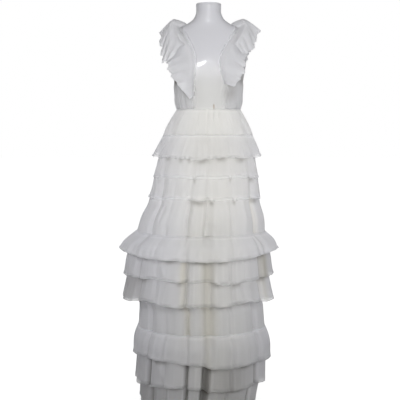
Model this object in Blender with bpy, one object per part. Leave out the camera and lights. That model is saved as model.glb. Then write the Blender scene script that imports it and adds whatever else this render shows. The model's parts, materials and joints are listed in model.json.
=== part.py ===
"""A tiered white wedding dress worn by a headless, armless dress form on a stand.

Metres, +Z up. The origin is on the floor under the pole, and the dress faces -Y, so the wearer's
left is at +X. Angles run round the body from 0 at the centre front towards the wearer's left.
Every cloth piece is a thin wall: its outer face is a grid of points, and its inner face is the
same grid moved in by the cloth's thickness.
"""

import math
from collections import namedtuple

import bmesh
import bpy
import numpy as np

# ---------------------------------------------------------------- driving dimensions

CLOTH = 0.0012  # wall of the organza pieces
GAP = 0.0003  # daylight left between pieces that are sewn or rest on each other

WAIST = 1.180  # height of the waist seam
UNDERARM = 1.258  # height of the armhole's lowest point
NECK_TOP = 1.588  # underside of the neck cap
FORM_BOTTOM = 0.860  # the form is cut off flat below the hips
HEM_CLEARANCE = 0.014  # the lowest hem hangs this far above the floor

POLE_RADIUS = 0.0125
BASE_RADIUS = 0.140
BASE_THICKNESS = 0.010
FLANGE_RADIUS = 0.035
FLANGE_HEIGHT = 0.018

# ---------------------------------------------------------------- the dress form's figure

FormSection = namedtuple("FormSection", "height half_width front back")
FORM_SECTIONS = [
    FormSection(FORM_BOTTOM, 0.150, 0.090, 0.105),
    FormSection(0.890, 0.159, 0.096, 0.118),
    FormSection(0.960, 0.165, 0.098, 0.126),
    FormSection(1.030, 0.154, 0.096, 0.112),
    FormSection(1.100, 0.131, 0.090, 0.092),
    FormSection(1.160, 0.1180, 0.085, 0.084),
    FormSection(1.200, 0.1190, 0.088, 0.083),
    FormSection(1.250, 0.1270, 0.097, 0.088),
    FormSection(1.310, 0.1400, 0.106, 0.095),
    FormSection(1.370, 0.1490, 0.103, 0.099),
    FormSection(1.430, 0.1540, 0.086, 0.098),
    FormSection(1.465, 0.1500, 0.071, 0.088),
    FormSection(1.490, 0.1310, 0.060, 0.075),
    FormSection(1.505, 0.1060, 0.056, 0.066),
    FormSection(1.516, 0.0850, 0.054, 0.059),
    FormSection(1.530, 0.0650, 0.053, 0.053),
    FormSection(1.552, 0.0515, 0.051, 0.049),
    FormSection(NECK_TOP, 0.0492, 0.051, 0.048),
]
BUST_HEIGHT = 1.315
BUST_SPREAD = 0.050  # how far up and down the bust fades
BUST_ANGLE = 36.0  # each side of the centre front, in degrees
BUST_WIDTH = 20.0
BUST_DEPTH = 0.016

# ---------------------------------------------------------------- how the bodice lies

# Ease is the room between the form and the inside of the bodice, most where it blouses
# over the waist seam and least where it hangs from the shoulders.
Ease = namedtuple("Ease", "height room")
BODICE_EASE = [
    Ease(WAIST, 0.0068),
    Ease(1.205, 0.0125),
    Ease(1.245, 0.0085),
    Ease(1.285, 0.0045),
    Ease(1.330, 0.0030),
    Ease(1.420, 0.0022),
    Ease(1.480, 0.0024),
    Ease(1.520, 0.0024),
]

# Each panel is cut between its neckline and its armhole, both given as angles and heights.
SEAM = 0.13  # degrees that a panel stops short of a side, shoulder or back seam
PanelRow = namedtuple("PanelRow", "neck_angle neck_height arm_angle arm_height")
FRONT_PANEL = [
    PanelRow(23.8, WAIST + GAP, 90.0 - SEAM, WAIST + GAP),
    PanelRow(21.7, 1.212, 90.0 - SEAM, 1.212),
    PanelRow(21.5, 1.245, 90.0 - SEAM, 1.235),
    PanelRow(22.1, 1.280, 90.0 - SEAM, UNDERARM),
    PanelRow(18.5, 1.325, 74.0, 1.285),
    PanelRow(18.3, 1.370, 63.0, 1.325),
    PanelRow(21.4, 1.410, 57.0, 1.370),
    PanelRow(28.2, 1.450, 57.0, 1.415),
    PanelRow(38.0, 1.477, 62.0, 1.450),
    PanelRow(52.0, 1.495, 71.0, 1.474),
    PanelRow(70.0, 1.505, 81.0, 1.486),
    PanelRow(90.0 - SEAM, 1.509, 90.0 - SEAM, 1.490),
]
BACK_PANEL = [
    PanelRow(180.0 - SEAM, WAIST + GAP, 90.0 + SEAM, WAIST + GAP),
    PanelRow(180.0 - SEAM, 1.212, 90.0 + SEAM, 1.212),
    PanelRow(180.0 - SEAM, 1.245, 90.0 + SEAM, 1.235),
    PanelRow(180.0 - SEAM, 1.285, 90.0 + SEAM, UNDERARM),
    PanelRow(174.0, 1.330, 101.0, 1.285),
    PanelRow(165.0, 1.375, 113.0, 1.325),
    PanelRow(157.0, 1.415, 121.0, 1.370),
    PanelRow(149.0, 1.450, 122.0, 1.415),
    PanelRow(140.0, 1.477, 117.0, 1.450),
    PanelRow(127.0, 1.495, 109.0, 1.474),
    PanelRow(109.0, 1.505, 99.0, 1.486),
    PanelRow(90.0 + SEAM, 1.509, 90.0 + SEAM, 1.490),
]
PANEL_COLUMNS = 6

# ---------------------------------------------------------------- the neckline ruffles

# Stations run from the ruffle's front end up the neckline, over the shoulder and down the back.
# angle and height place the gathering line on the bodice, heading is how far the narrow inner
# edge lies towards the chest, edge_x, edge_y and edge_z place the free edge, and belly is how
# far the ruffle stands up between them. x is measured towards the ruffle's own side.
Station = namedtuple("Station", "angle height heading edge_x edge_y edge_z belly")
UNDER_LEFT = [
    Station(26.0, 1.278, 0.010, 0.094, -0.108, 1.268, 0.006),
    Station(23.0, 1.318, 0.022, 0.122, -0.102, 1.296, 0.010),
    Station(22.0, 1.355, 0.024, 0.142, -0.086, 1.322, 0.013),
    Station(24.0, 1.395, 0.018, 0.154, -0.066, 1.352, 0.015),
    Station(31.0, 1.437, 0.012, 0.166, -0.044, 1.385, 0.017),
    Station(45.0, 1.477, 0.008, 0.177, -0.020, 1.414, 0.022),
    Station(90.0, 1.503, 0.008, 0.184, 0.006, 1.430, 0.028),
    Station(134.0, 1.477, 0.008, 0.179, 0.038, 1.416, 0.022),
    Station(148.0, 1.435, 0.010, 0.166, 0.066, 1.384, 0.016),
    Station(158.0, 1.390, 0.010, 0.142, 0.094, 1.346, 0.011),
    Station(168.0, 1.345, 0.008, 0.100, 0.112, 1.310, 0.006),
]
UNDER_RIGHT = [
    Station(27.0, 1.232, 0.004, 0.074, -0.118, 1.222, 0.009),
    Station(26.0, 1.275, 0.010, 0.108, -0.116, 1.258, 0.013),
    Station(23.0, 1.318, 0.022, 0.146, -0.090, 1.302, 0.014),
    Station(22.0, 1.358, 0.024, 0.166, -0.070, 1.334, 0.016),
    Station(24.0, 1.398, 0.018, 0.172, -0.052, 1.362, 0.016),
    Station(31.0, 1.438, 0.012, 0.174, -0.036, 1.388, 0.018),
    Station(45.0, 1.477, 0.008, 0.180, -0.014, 1.414, 0.022),
    Station(90.0, 1.503, 0.008, 0.184, 0.008, 1.430, 0.028),
    Station(134.0, 1.477, 0.008, 0.178, 0.040, 1.414, 0.022),
    Station(148.0, 1.435, 0.010, 0.166, 0.068, 1.380, 0.016),
    Station(158.0, 1.390, 0.010, 0.140, 0.096, 1.342, 0.011),
    Station(168.0, 1.345, 0.008, 0.098, 0.112, 1.306, 0.006),
]
UPPER_LEFT = [
    Station(32.0, 1.430, 0.004, 0.130, -0.096, 1.400, 0.016),
    Station(39.0, 1.458, 0.004, 0.156, -0.076, 1.396, 0.024),
    Station(52.0, 1.484, 0.004, 0.184, -0.044, 1.416, 0.032),
    Station(70.0, 1.497, 0.004, 0.192, -0.016, 1.446, 0.036),
    Station(90.0, 1.503, 0.004, 0.206, 0.008, 1.490, 0.028),
    Station(113.0, 1.497, 0.004, 0.198, 0.036, 1.460, 0.032),
    Station(130.0, 1.484, 0.004, 0.188, 0.064, 1.430, 0.032),
    Station(142.0, 1.458, 0.004, 0.164, 0.092, 1.404, 0.024),
    Station(149.0, 1.430, 0.004, 0.130, 0.110, 1.388, 0.016),
]
UPPER_RIGHT = [
    Station(32.0, 1.425, 0.004, 0.122, -0.108, 1.392, 0.016),
    Station(36.0, 1.446, 0.004, 0.154, -0.098, 1.366, 0.024),
    Station(43.0, 1.468, 0.004, 0.180, -0.074, 1.358, 0.030),
    Station(54.0, 1.486, 0.004, 0.190, -0.046, 1.396, 0.034),
    Station(70.0, 1.497, 0.004, 0.194, -0.016, 1.444, 0.036),
    Station(90.0, 1.503, 0.004, 0.194, 0.014, 1.482, 0.032),
    Station(113.0, 1.497, 0.004, 0.194, 0.042, 1.450, 0.034),
    Station(130.0, 1.484, 0.004, 0.186, 0.070, 1.414, 0.032),
    Station(142.0, 1.458, 0.004, 0.162, 0.096, 1.388, 0.024),
    Station(149.0, 1.430, 0.004, 0.126, 0.112, 1.376, 0.016),
]
# A flute is one wave of a ruffle's free edge. flutes is how many the strip has, phase where the
# first begins, depth how far they stand up, and lift how far the strip lies above the bodice.
Ruffle = namedtuple("Ruffle", "name stations side flutes phase depth lift")
RUFFLES = [
    Ruffle("ruffle_under_left", UNDER_LEFT, 1, 8, 0.15, 0.009, 0.0016),
    Ruffle("ruffle_under_right", UNDER_RIGHT, -1, 9, 0.60, 0.009, 0.0026),
    Ruffle("ruffle_upper_left", UPPER_LEFT, 1, 6, 0.30, 0.011, 0.00725),
    Ruffle("ruffle_upper_right", UPPER_RIGHT, -1, 7, 0.00, 0.011, 0.0082),
]
POINTS_PER_FLUTE = 3
RUFFLE_SHARES = [0.0, 0.5, 1.0]  # rows of points from the gathering line to the free edge
RUFFLE_MIDDLE = np.array([0.07, 0.0, 1.40])  # the shoulder inside the ruffles

# ---------------------------------------------------------------- the skirt

# Deep folds run down the whole skirt at these angles, unevenly, as the gathers fell.
Fold = namedtuple("Fold", "angle width depth")
FOLDS = [
    Fold(-152.0, 10.0, 0.034),
    Fold(-116.0, 9.0, 0.030),
    Fold(-83.0, 8.0, 0.020),
    Fold(-52.0, 8.0, 0.030),
    Fold(-33.0, 6.0, 0.010),
    Fold(-12.5, 5.0, 0.028),
    Fold(6.5, 11.0, 0.040),
    Fold(27.0, 6.0, 0.012),
    Fold(56.0, 8.0, 0.034),
    Fold(90.0, 8.0, 0.020),
    Fold(127.0, 9.0, 0.032),
    Fold(166.0, 9.0, 0.026),
]
WIDE_FOLD = 10.5  # folds at least this wide have a flat floor with two corners
LIP_INSET = 0.10  # a fold's lips turn in by this share of its depth
CREST_RISE = 0.00022  # the cloth between folds bulges by this for each degree of its width

# Where the skirt's middle hangs, and how deep it is for its width, at each height.
Hang = namedtuple("Hang", "height middle_x middle_y depth_share")
SKIRT_HANG = [
    Hang(0.000, -0.046, 0.016, 0.92),
    Hang(0.120, -0.033, 0.016, 0.92),
    Hang(0.250, -0.027, 0.015, 0.91),
    Hang(0.400, -0.029, 0.014, 0.90),
    Hang(0.440, -0.042, 0.014, 0.90),
    Hang(0.570, -0.042, 0.013, 0.89),
    Hang(0.650, -0.037, 0.012, 0.89),
    Hang(0.700, -0.030, 0.010, 0.88),
    Hang(0.800, -0.018, 0.008, 0.86),
    Hang(0.860, -0.012, 0.007, 0.85),
    Hang(0.980, -0.007, 0.005, 0.82),
    Hang(1.080, -0.002, 0.002, 0.79),
    Hang(WAIST, 0.000, 0.000, 0.75),
]

# A piece of the skirt runs down through its rows to its hem. fold_share is how much of each
# fold's depth it has there. side_rise lifts a hem at the hips, and tilt lifts it towards the
# wearer's left. A tier is sewn to the outer or inner face of the piece named, at the row of
# that piece that is seam high.
TierRow = namedtuple("TierRow", "height half_width fold_share side_rise tilt")
Tier = namedtuple("Tier", "name sewn_to face seam rows")
HIP_SEAM = 1.080
THIGH_SEAM = 0.938
PANEL_SEAM = 0.852
KNEE_SEAM = 0.698
CALF_SEAM = 0.640
LOW_SEAM = 0.318
HEM_SEAM = 0.288
YOKE_ROWS = [
    TierRow(1.138, 0.1530, 0.12, 0.0, 0.0),
    TierRow(HIP_SEAM, 0.1780, 0.20, 0.0, 0.0),
]
TIERS = [
    Tier("flounce_hip", "skirt_yoke", "outer", HIP_SEAM, [
        TierRow(1.036, 0.2000, 0.18, 0.0, 0.0),
        TierRow(0.984, 0.2170, 0.16, 0.013, 0.0),
    ]),
    Tier("tier_hip", "skirt_yoke", "inner", HIP_SEAM, [
        TierRow(THIGH_SEAM, 0.2050, 0.32, 0.0, 0.0),
        TierRow(0.912, 0.2115, 0.34, 0.0, 0.0),
    ]),
    Tier("tier_thigh", "tier_hip", "inner", THIGH_SEAM, [
        TierRow(PANEL_SEAM, 0.2195, 0.52, 0.0, 0.0),
        TierRow(0.829, 0.2250, 0.55, 0.0, 0.0),
    ]),
    Tier("panel_thigh", "tier_thigh", "inner", PANEL_SEAM, [
        TierRow(0.818, 0.2225, 0.62, 0.0, 0.0),
        TierRow(0.755, 0.2470, 0.85, 0.0, 0.0),
        TierRow(KNEE_SEAM, 0.2570, 1.00, 0.0, 0.0),
        TierRow(CALF_SEAM, 0.2590, 1.00, 0.0, 0.0),
    ]),
    Tier("tier_knee_upper", "panel_thigh", "outer", KNEE_SEAM, [
        TierRow(0.600, 0.2900, 0.90, 0.0, 0.0),
        TierRow(0.526, 0.3010, 0.95, 0.0, 0.0),
    ]),
    Tier("flounce_knee", "tier_knee_upper", "outer", KNEE_SEAM, [
        TierRow(0.668, 0.2940, 0.50, 0.0, 0.0),
        TierRow(0.607, 0.3190, 0.34, 0.024, 0.0),
    ]),
    Tier("tier_knee_lower", "panel_thigh", "outer", CALF_SEAM, [
        TierRow(0.436, 0.3075, 1.00, -0.004, 0.0),
    ]),
    Tier("panel_calf", "panel_thigh", "inner", CALF_SEAM, [
        TierRow(0.400, 0.2510, 1.00, 0.0, 0.0),
        TierRow(LOW_SEAM, 0.2560, 1.00, 0.0, 0.0),
        TierRow(HEM_SEAM, 0.2580, 1.00, 0.0, 0.0),
    ]),
    Tier("flounce_calf", "panel_calf", "outer", LOW_SEAM, [
        TierRow(0.268, 0.2760, 0.80, 0.0, 0.0),
        TierRow(0.210, 0.2790, 0.66, -0.010, -0.010),
    ]),
    Tier("tier_hem_upper", "panel_calf", "outer", HEM_SEAM, [
        TierRow(0.112, 0.2660, 0.95, -0.016, 0.0),
    ]),
    Tier("tier_hem_lower", "panel_calf", "inner", HEM_SEAM, [
        TierRow(HEM_CLEARANCE, 0.2360, 1.00, 0.0, 0.0),
    ]),
]

# The slip under the tiers: narrower, ivory and plain.
SlipRow = namedtuple("SlipRow", "height half_width half_depth")
SLIP_DROP = 0.002  # its seam is this far under the waist seam
SLIP_TUCK = 0.0004  # and its points lie this far inside the yoke's inner face
SLIP_ROWS = [
    SlipRow(1.080, 0.1500, 0.112),
    SlipRow(0.960, 0.1750, 0.137),
    SlipRow(0.250, 0.1900, 0.158),
]
SLIP_COLUMNS = 18

# The ribbon loop that stands up inside the neckline at the waist seam.
LOOP_ANGLE = 9.0
LOOP_WIDTH = 0.007
LOOP_HEIGHT = 0.018


# ---------------------------------------------------------------- small helpers

def smooth_between(heights, values, at):
    """Values between table rows along a smooth curve through them (cubic Hermite)."""
    heights, values, at = (np.asarray(a, float) for a in (heights, values, at))
    slopes = np.gradient(values, heights)
    i = np.clip(np.searchsorted(heights, at, side="right") - 1, 0, len(heights) - 2)
    step = heights[i + 1] - heights[i]
    t = np.clip((at - heights[i]) / step, 0.0, 1.0)
    return (
        (1 + 2 * t) * (1 - t) ** 2 * values[i]
        + t * (1 - t) ** 2 * step * slopes[i]
        + t * t * (3 - 2 * t) * values[i + 1]
        + t * t * (t - 1) * step * slopes[i + 1]
    )


def column(table, name):
    """One named column of a table of rows."""
    return np.array([getattr(row, name) for row in table], float)


def bump(distance, width):
    """A smooth hill, 1 at no distance and fading with width."""
    return np.exp(-((distance / width) ** 2))


def unit(vectors):
    """Vectors scaled to length 1."""
    return vectors / np.linalg.norm(vectors, axis=-1, keepdims=True)


def make_material(name, colour, roughness, coat=0.0):
    """A Principled material with the piece's colour and finish."""
    material = bpy.data.materials.new(name)
    material.use_nodes = True
    shader = material.node_tree.nodes["Principled BSDF"]
    shader.inputs["Base Color"].default_value = (*colour, 1.0)
    shader.inputs["Roughness"].default_value = roughness
    shader.inputs["Coat Weight"].default_value = coat
    return material


def solid_object(name, points, faces, material, sharp_angle):
    """A closed mesh with its faces turned outwards, linked into the scene as one named piece."""
    mesh = bpy.data.meshes.new(name)
    mesh.from_pydata(np.asarray(points).reshape(-1, 3).tolist(), [], faces)
    bm = bmesh.new()
    bm.from_mesh(mesh)
    bmesh.ops.recalc_face_normals(bm, faces=bm.faces[:])
    bm.to_mesh(mesh)
    bm.free()
    mesh.shade_smooth()
    mesh.set_sharp_from_angle(angle=math.radians(sharp_angle))
    mesh.materials.append(material)
    obj = bpy.data.objects.new(name, mesh)
    bpy.context.scene.collection.objects.link(obj)
    return obj


def rings_solid(name, rings, material, sharp_angle):
    """A solid through level rings of points, closed flat at both ends."""
    count, columns = rings.shape[:2]
    faces = [
        (r * columns + c, r * columns + (c + 1) % columns,
         (r + 1) * columns + (c + 1) % columns, (r + 1) * columns + c)
        for r in range(count - 1)
        for c in range(columns)
    ]
    faces.append(tuple(range(columns)))
    faces.append(tuple(range((count - 1) * columns, count * columns)))
    return solid_object(name, rings, faces, material, sharp_angle)


def turned_solid(name, profile, material, segments):
    """A turned solid round the Z axis, through (radius, height) corners."""
    turn = np.linspace(0.0, math.tau, segments, endpoint=False)
    rings = np.stack([
        np.stack([radius * np.sin(turn), -radius * np.cos(turn), height + 0 * turn], axis=-1)
        for radius, height in profile
    ])
    return rings_solid(name, rings, material, 35.0)


def cloth_wall(name, outer, inner, material, closed_round):
    """A thin closed wall between two grids of points, split alike so that it stays even."""
    rows, columns = outer.shape[:2]
    steps = columns if closed_round else columns - 1
    under = rows * columns
    faces = []
    for r in range(rows - 1):
        for c in range(steps):
            a, b = r * columns + c, r * columns + (c + 1) % columns
            d, e = a + columns, b + columns
            faces.extend([(a, b, e), (a, e, d)])
            faces.extend([(under + e, under + b, under + a), (under + d, under + e, under + a)])
    rims = [
        (start + c, start + (c + 1) % columns)
        for start in (0, (rows - 1) * columns)
        for c in range(steps)
    ]
    if not closed_round:
        rims.extend(
            (r * columns + start, (r + 1) * columns + start)
            for start in (0, columns - 1)
            for r in range(rows - 1)
        )
    for a, b in rims:
        faces.extend([(a, b, under + b), (a, under + b, under + a)])
    points = np.concatenate([outer.reshape(-1, 3), inner.reshape(-1, 3)])
    return solid_object(name, points, faces, material, 60.0)


# ---------------------------------------------------------------- the figure's surface

def figure_point(angle, height):
    """The form's surface at an angle and height."""
    theta = np.radians(angle)
    heights = column(FORM_SECTIONS, "height")
    width, front, back = (
        smooth_between(heights, column(FORM_SECTIONS, name), height)
        for name in ("half_width", "front", "back")
    )
    bust = BUST_DEPTH * bump(height - BUST_HEIGHT, BUST_SPREAD)
    bust = bust * bump(np.abs(angle) - BUST_ANGLE, BUST_WIDTH)
    depth = np.where(np.cos(theta) > 0, front, back)
    x = (width + bust) * np.sin(theta)
    y = -(depth + bust) * np.cos(theta)
    return np.stack([x, y, height + 0 * theta], axis=-1)


def figure_normal(angle, height):
    """The way out of the form's surface, square to two short steps along it."""
    along = figure_point(angle + 0.5, height) - figure_point(angle - 0.5, height)
    up = figure_point(angle, height + 0.001) - figure_point(angle, height - 0.001)
    return unit(np.cross(along, up))


def bodice_point(angle, height):
    """The outside of the bodice over the form at an angle and height."""
    room = smooth_between(column(BODICE_EASE, "height"), column(BODICE_EASE, "room"), height)
    return figure_point(angle, height) + figure_normal(angle, height) * (room + CLOTH)[..., None]


def make_form(material):
    """The torso: rings of the figure from the cut-off hips to the neck, closed at both ends."""
    heights = np.concatenate([
        np.linspace(FORM_BOTTOM, 1.43, 15),
        np.array([1.449, 1.465, 1.478, 1.490, 1.498, 1.505, 1.511, 1.517, 1.524, 1.533, 1.546]),
        np.array([1.565, NECK_TOP]),
    ])
    angles = np.arange(-168.75, 181.0, 11.25)
    return rings_solid(
        "dress_form", figure_point(angles[None, :], heights[:, None]), material, 50.0
    )


def make_stand(metal, plastic):
    """The neck cap, the flange under the torso, the pole and the round base plate."""
    cap_radius = FORM_SECTIONS[-1].half_width
    cap_bottom = NECK_TOP + GAP
    turned_solid("neck_cap", [
        (cap_radius - 0.003, cap_bottom + 0.006),
        (cap_radius, cap_bottom + 0.0035),
        (cap_radius, cap_bottom),
    ], plastic, 32)
    flange_top = FORM_BOTTOM - GAP
    flange_bottom = flange_top - FLANGE_HEIGHT
    turned_solid("stand_flange", [
        (FLANGE_RADIUS, flange_top),
        (FLANGE_RADIUS, flange_top - 0.004),
        (FLANGE_RADIUS * 0.6, flange_bottom),
    ], metal, 24)
    turned_solid("stand_pole", [
        (POLE_RADIUS, flange_bottom - GAP),
        (POLE_RADIUS, BASE_THICKNESS + GAP),
    ], metal, 16)
    turned_solid("stand_base", [
        (BASE_RADIUS - 0.003, BASE_THICKNESS),
        (BASE_RADIUS, BASE_THICKNESS - 0.003),
        (BASE_RADIUS, 0.0),
    ], metal, 48)


# ---------------------------------------------------------------- bodice

def make_panel(name, rows, side, material):
    """One bodice panel, gathered on the waist seam and cut to its neckline and armhole."""
    share = np.linspace(0.0, 1.0, PANEL_COLUMNS)[None, :]
    neck_angle, neck_height, arm_angle, arm_height = (
        column(rows, column_name)[:, None] for column_name in PanelRow._fields
    )
    angle = neck_angle + (arm_angle - neck_angle) * share
    height = neck_height + (arm_height - neck_height) * share
    outer = bodice_point(angle, height)
    inner = outer - figure_normal(angle, height) * CLOTH
    inner[0, :, 2] = outer[0, :, 2]
    flip = np.array([side, 1.0, 1.0])
    return cloth_wall(name, outer * flip, inner * flip, material, False)


# ---------------------------------------------------------------- neckline ruffles

def ruffle_points(ruffle):
    """Rows of points across a ruffle: its heading, its gathering line and down to its free edge."""
    stations = ruffle.stations
    knots = np.arange(len(stations), dtype=float)
    along = np.linspace(0.0, len(stations) - 1.0, ruffle.flutes * POINTS_PER_FLUTE + 1)
    angle, height, heading, edge_x, edge_y, edge_z, belly = (
        smooth_between(knots, column(stations, name), along) for name in Station._fields
    )
    edge = np.stack([edge_x, edge_y, edge_z], axis=-1)
    away = figure_normal(angle, height)
    line = bodice_point(angle, height) + away * (CLOTH + GAP + ruffle.lift)
    fall = edge - line
    square = unit(np.cross(fall, np.gradient((line + edge) / 2, axis=0)))
    square *= np.sign(np.sum(square * (line - RUFFLE_MIDDLE), axis=-1))[:, None]

    wave = np.cos(math.tau * (along / along[-1] * ruffle.flutes + ruffle.phase))
    inner_edge = line - unit(fall) * heading[:, None] + away * (0.3 * heading)[:, None]
    rows = [inner_edge]
    for share in RUFFLE_SHARES:
        arch = belly * math.sin(math.pi * share ** 0.7)
        flute = ruffle.depth * wave * share
        rows.append(line + fall * share + square * (arch + flute)[:, None])
    return np.stack(rows)


def make_ruffle(ruffle, material):
    """A gathered strip sewn along the neckline, its free edge standing out in flutes."""
    outer = ruffle_points(ruffle)
    normal = unit(np.cross(np.gradient(outer, axis=0), np.gradient(outer, axis=1)))
    normal *= np.sign(np.sum(normal * (outer - RUFFLE_MIDDLE)))
    inner = outer - normal * CLOTH
    flip = np.array([ruffle.side, 1.0, 1.0])
    return cloth_wall(ruffle.name, outer * flip, inner * flip, material, False)


# ---------------------------------------------------------------- skirt

def fold_corners():
    """The angles where the skirt's walls have corners, and how far each is turned in."""
    corners = []
    for i, fold in enumerate(FOLDS):
        lip = fold.width / 2
        corners.append((fold.angle - lip, LIP_INSET * fold.depth))
        if fold.width >= WIDE_FOLD:
            corners.append((fold.angle - lip * 0.4, fold.depth))
            corners.append((fold.angle + lip * 0.4, fold.depth))
        else:
            corners.append((fold.angle, fold.depth))
        corners.append((fold.angle + lip, LIP_INSET * fold.depth))
        following = FOLDS[(i + 1) % len(FOLDS)]
        start = fold.angle + lip
        end = following.angle - following.width / 2 + (360.0 if i == len(FOLDS) - 1 else 0.0)
        corners.append(((start + end) / 2, -CREST_RISE * (end - start)))
    return np.array(corners).T


ANGLES, INSETS = fold_corners()


def tier_ring(row):
    """One level of a tier: an oval of its width, turned in at the folds."""
    theta = np.radians(ANGLES)
    middle_x, middle_y, depth_share = (
        np.interp(row.height, column(SKIRT_HANG, "height"), column(SKIRT_HANG, name))
        for name in ("middle_x", "middle_y", "depth_share")
    )
    inset = INSETS * row.fold_share
    x = middle_x + (row.half_width - inset) * np.sin(theta)
    y = middle_y - (row.half_width * depth_share - inset) * np.cos(theta)
    z = row.height + row.side_rise * np.sin(theta) ** 2 + row.tilt * np.sin(theta)
    return np.stack([x, y, z], axis=-1)


def moved_out(ring, distance):
    """A level ring moved out by a distance, square to its sides, so that walls stay parallel."""
    ahead = unit(np.roll(ring[:, :2], -1, axis=0) - ring[:, :2])
    side = np.stack([-ahead[:, 1], ahead[:, 0]], axis=1)
    if np.sum(side * (ring[:, :2] - ring[:, :2].mean(axis=0))) < 0:
        side = -side
    before = np.roll(side, 1, axis=0)
    corner = (side + before) / (1.0 + np.sum(side * before, axis=1))[:, None]
    moved = ring.copy()
    moved[:, :2] += corner * distance
    return moved


def slants(rings):
    """How much wider than its thickness a wall is cut by a level plane, at each ring."""
    height = np.array([ring[:, 2].mean() for ring in rings])
    radius = np.array([np.linalg.norm(ring - ring.mean(axis=0), axis=1).mean() for ring in rings])
    return np.sqrt(1.0 + np.gradient(radius, height) ** 2)


def make_tube(name, rings, material):
    """A skirt piece through its rings, with the cloth's thickness turned inwards."""
    inner = [moved_out(ring, -CLOTH * slant) for ring, slant in zip(rings, slants(rings))]
    return cloth_wall(name, np.stack(rings), np.stack(inner), material, True)


def sewn_ring(parent, face, seam, first_row):
    """The first ring of a tier, lying on the outer or inner face of its parent's ring."""
    index = min(range(len(parent)), key=lambda i: abs(parent[i][:, 2].mean() - seam))
    ring = parent[index]
    if face == "inner":
        return moved_out(ring, -CLOTH * slants(parent)[index] - GAP)
    own = slants([ring, tier_ring(first_row)])[0]
    return moved_out(ring, CLOTH * own * 1.02 + GAP)


def make_skirt(organza):
    """The yoke and every tier that hangs from it, each sewn to a ring of an earlier one."""
    waist = bodice_point(ANGLES, WAIST + 0 * ANGLES)
    pieces = {"skirt_yoke": [waist] + [tier_ring(row) for row in YOKE_ROWS]}
    for tier in TIERS:
        top = sewn_ring(pieces[tier.sewn_to], tier.face, tier.seam, tier.rows[0])
        pieces[tier.name] = [top] + [tier_ring(row) for row in tier.rows]
    for name, rings in pieces.items():
        make_tube(name, rings, organza)


def make_slip(ivory):
    """The plain ivory slip, sewn inside the yoke just under the waist seam."""
    angles = np.linspace(-180.0, 180.0, SLIP_COLUMNS, endpoint=False)
    theta = np.radians(angles)
    level = WAIST + 0 * angles
    top = bodice_point(angles, level) - figure_normal(angles, level) * (CLOTH + SLIP_TUCK)
    top[:, 2] = WAIST - SLIP_DROP
    rings = [top]
    for row in SLIP_ROWS:
        rings.append(np.stack([
            row.half_width * np.sin(theta) - 0.012 * (WAIST - row.height),
            -row.half_depth * np.cos(theta) + 0.006 * (WAIST - row.height),
            row.height + 0 * theta,
        ], axis=-1))
    return make_tube("slip_skirt", rings, ivory)


def make_loop(nude):
    """The small ribbon loop at the foot of the neckline, standing on the waist seam."""
    foot = bodice_point(np.array(LOOP_ANGLE), np.array(WAIST))
    x = foot[0] + LOOP_WIDTH * np.array([-0.5, 0.5, 0.5, -0.5])
    y = foot[1] + CLOTH * np.array([0.0, 0.0, 1.0, 1.0])
    rings = np.stack([
        np.stack([x, y, WAIST + GAP + rise + 0 * x], axis=-1) for rise in (LOOP_HEIGHT, 0.0)
    ])
    return rings_solid("waist_loop", rings, nude, 35.0)


# ---------------------------------------------------------------- the whole object

def main():
    for obj in list(bpy.data.objects):
        bpy.data.objects.remove(obj)

    organza = make_material("white_organza", (0.86, 0.86, 0.87), 0.75)
    ivory = make_material("ivory_slip", (0.86, 0.83, 0.77), 0.60)
    nude = make_material("nude_ribbon", (0.62, 0.52, 0.44), 0.60)
    plastic = make_material("pale_gloss", (0.72, 0.72, 0.75), 0.12, coat=0.6)
    paint = make_material("black_metal", (0.05, 0.05, 0.055), 0.40)

    make_form(plastic)
    make_stand(paint, plastic)
    make_panel("bodice_front_left", FRONT_PANEL, 1, organza)
    make_panel("bodice_front_right", FRONT_PANEL, -1, organza)
    make_panel("bodice_back_left", BACK_PANEL, 1, organza)
    make_panel("bodice_back_right", BACK_PANEL, -1, organza)
    for ruffle in RUFFLES:
        make_ruffle(ruffle, organza)
    make_skirt(organza)
    make_slip(ivory)
    make_loop(nude)


main()
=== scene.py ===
# %% [markdown]
# # A tiered wedding dress on its dress form
#
# The dress is made of white organza: crisp, sheer cloth that is gathered into long frills. Two
# ruffles stand round a deep V neckline, and twelve tiers hang from the waist over an ivory slip.
# The construction file already holds every piece as a simple wall with the right size and place.
# This lesson gives each of those pieces its cloth: fine gathers, soft creases, a sheer finish and
# light. Each surface is a function of two numbers worked out on a grid, because a gather is easy
# to say as a wave and hard to model by hand.

import json
import math
from collections import namedtuple
from functools import partial

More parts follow.
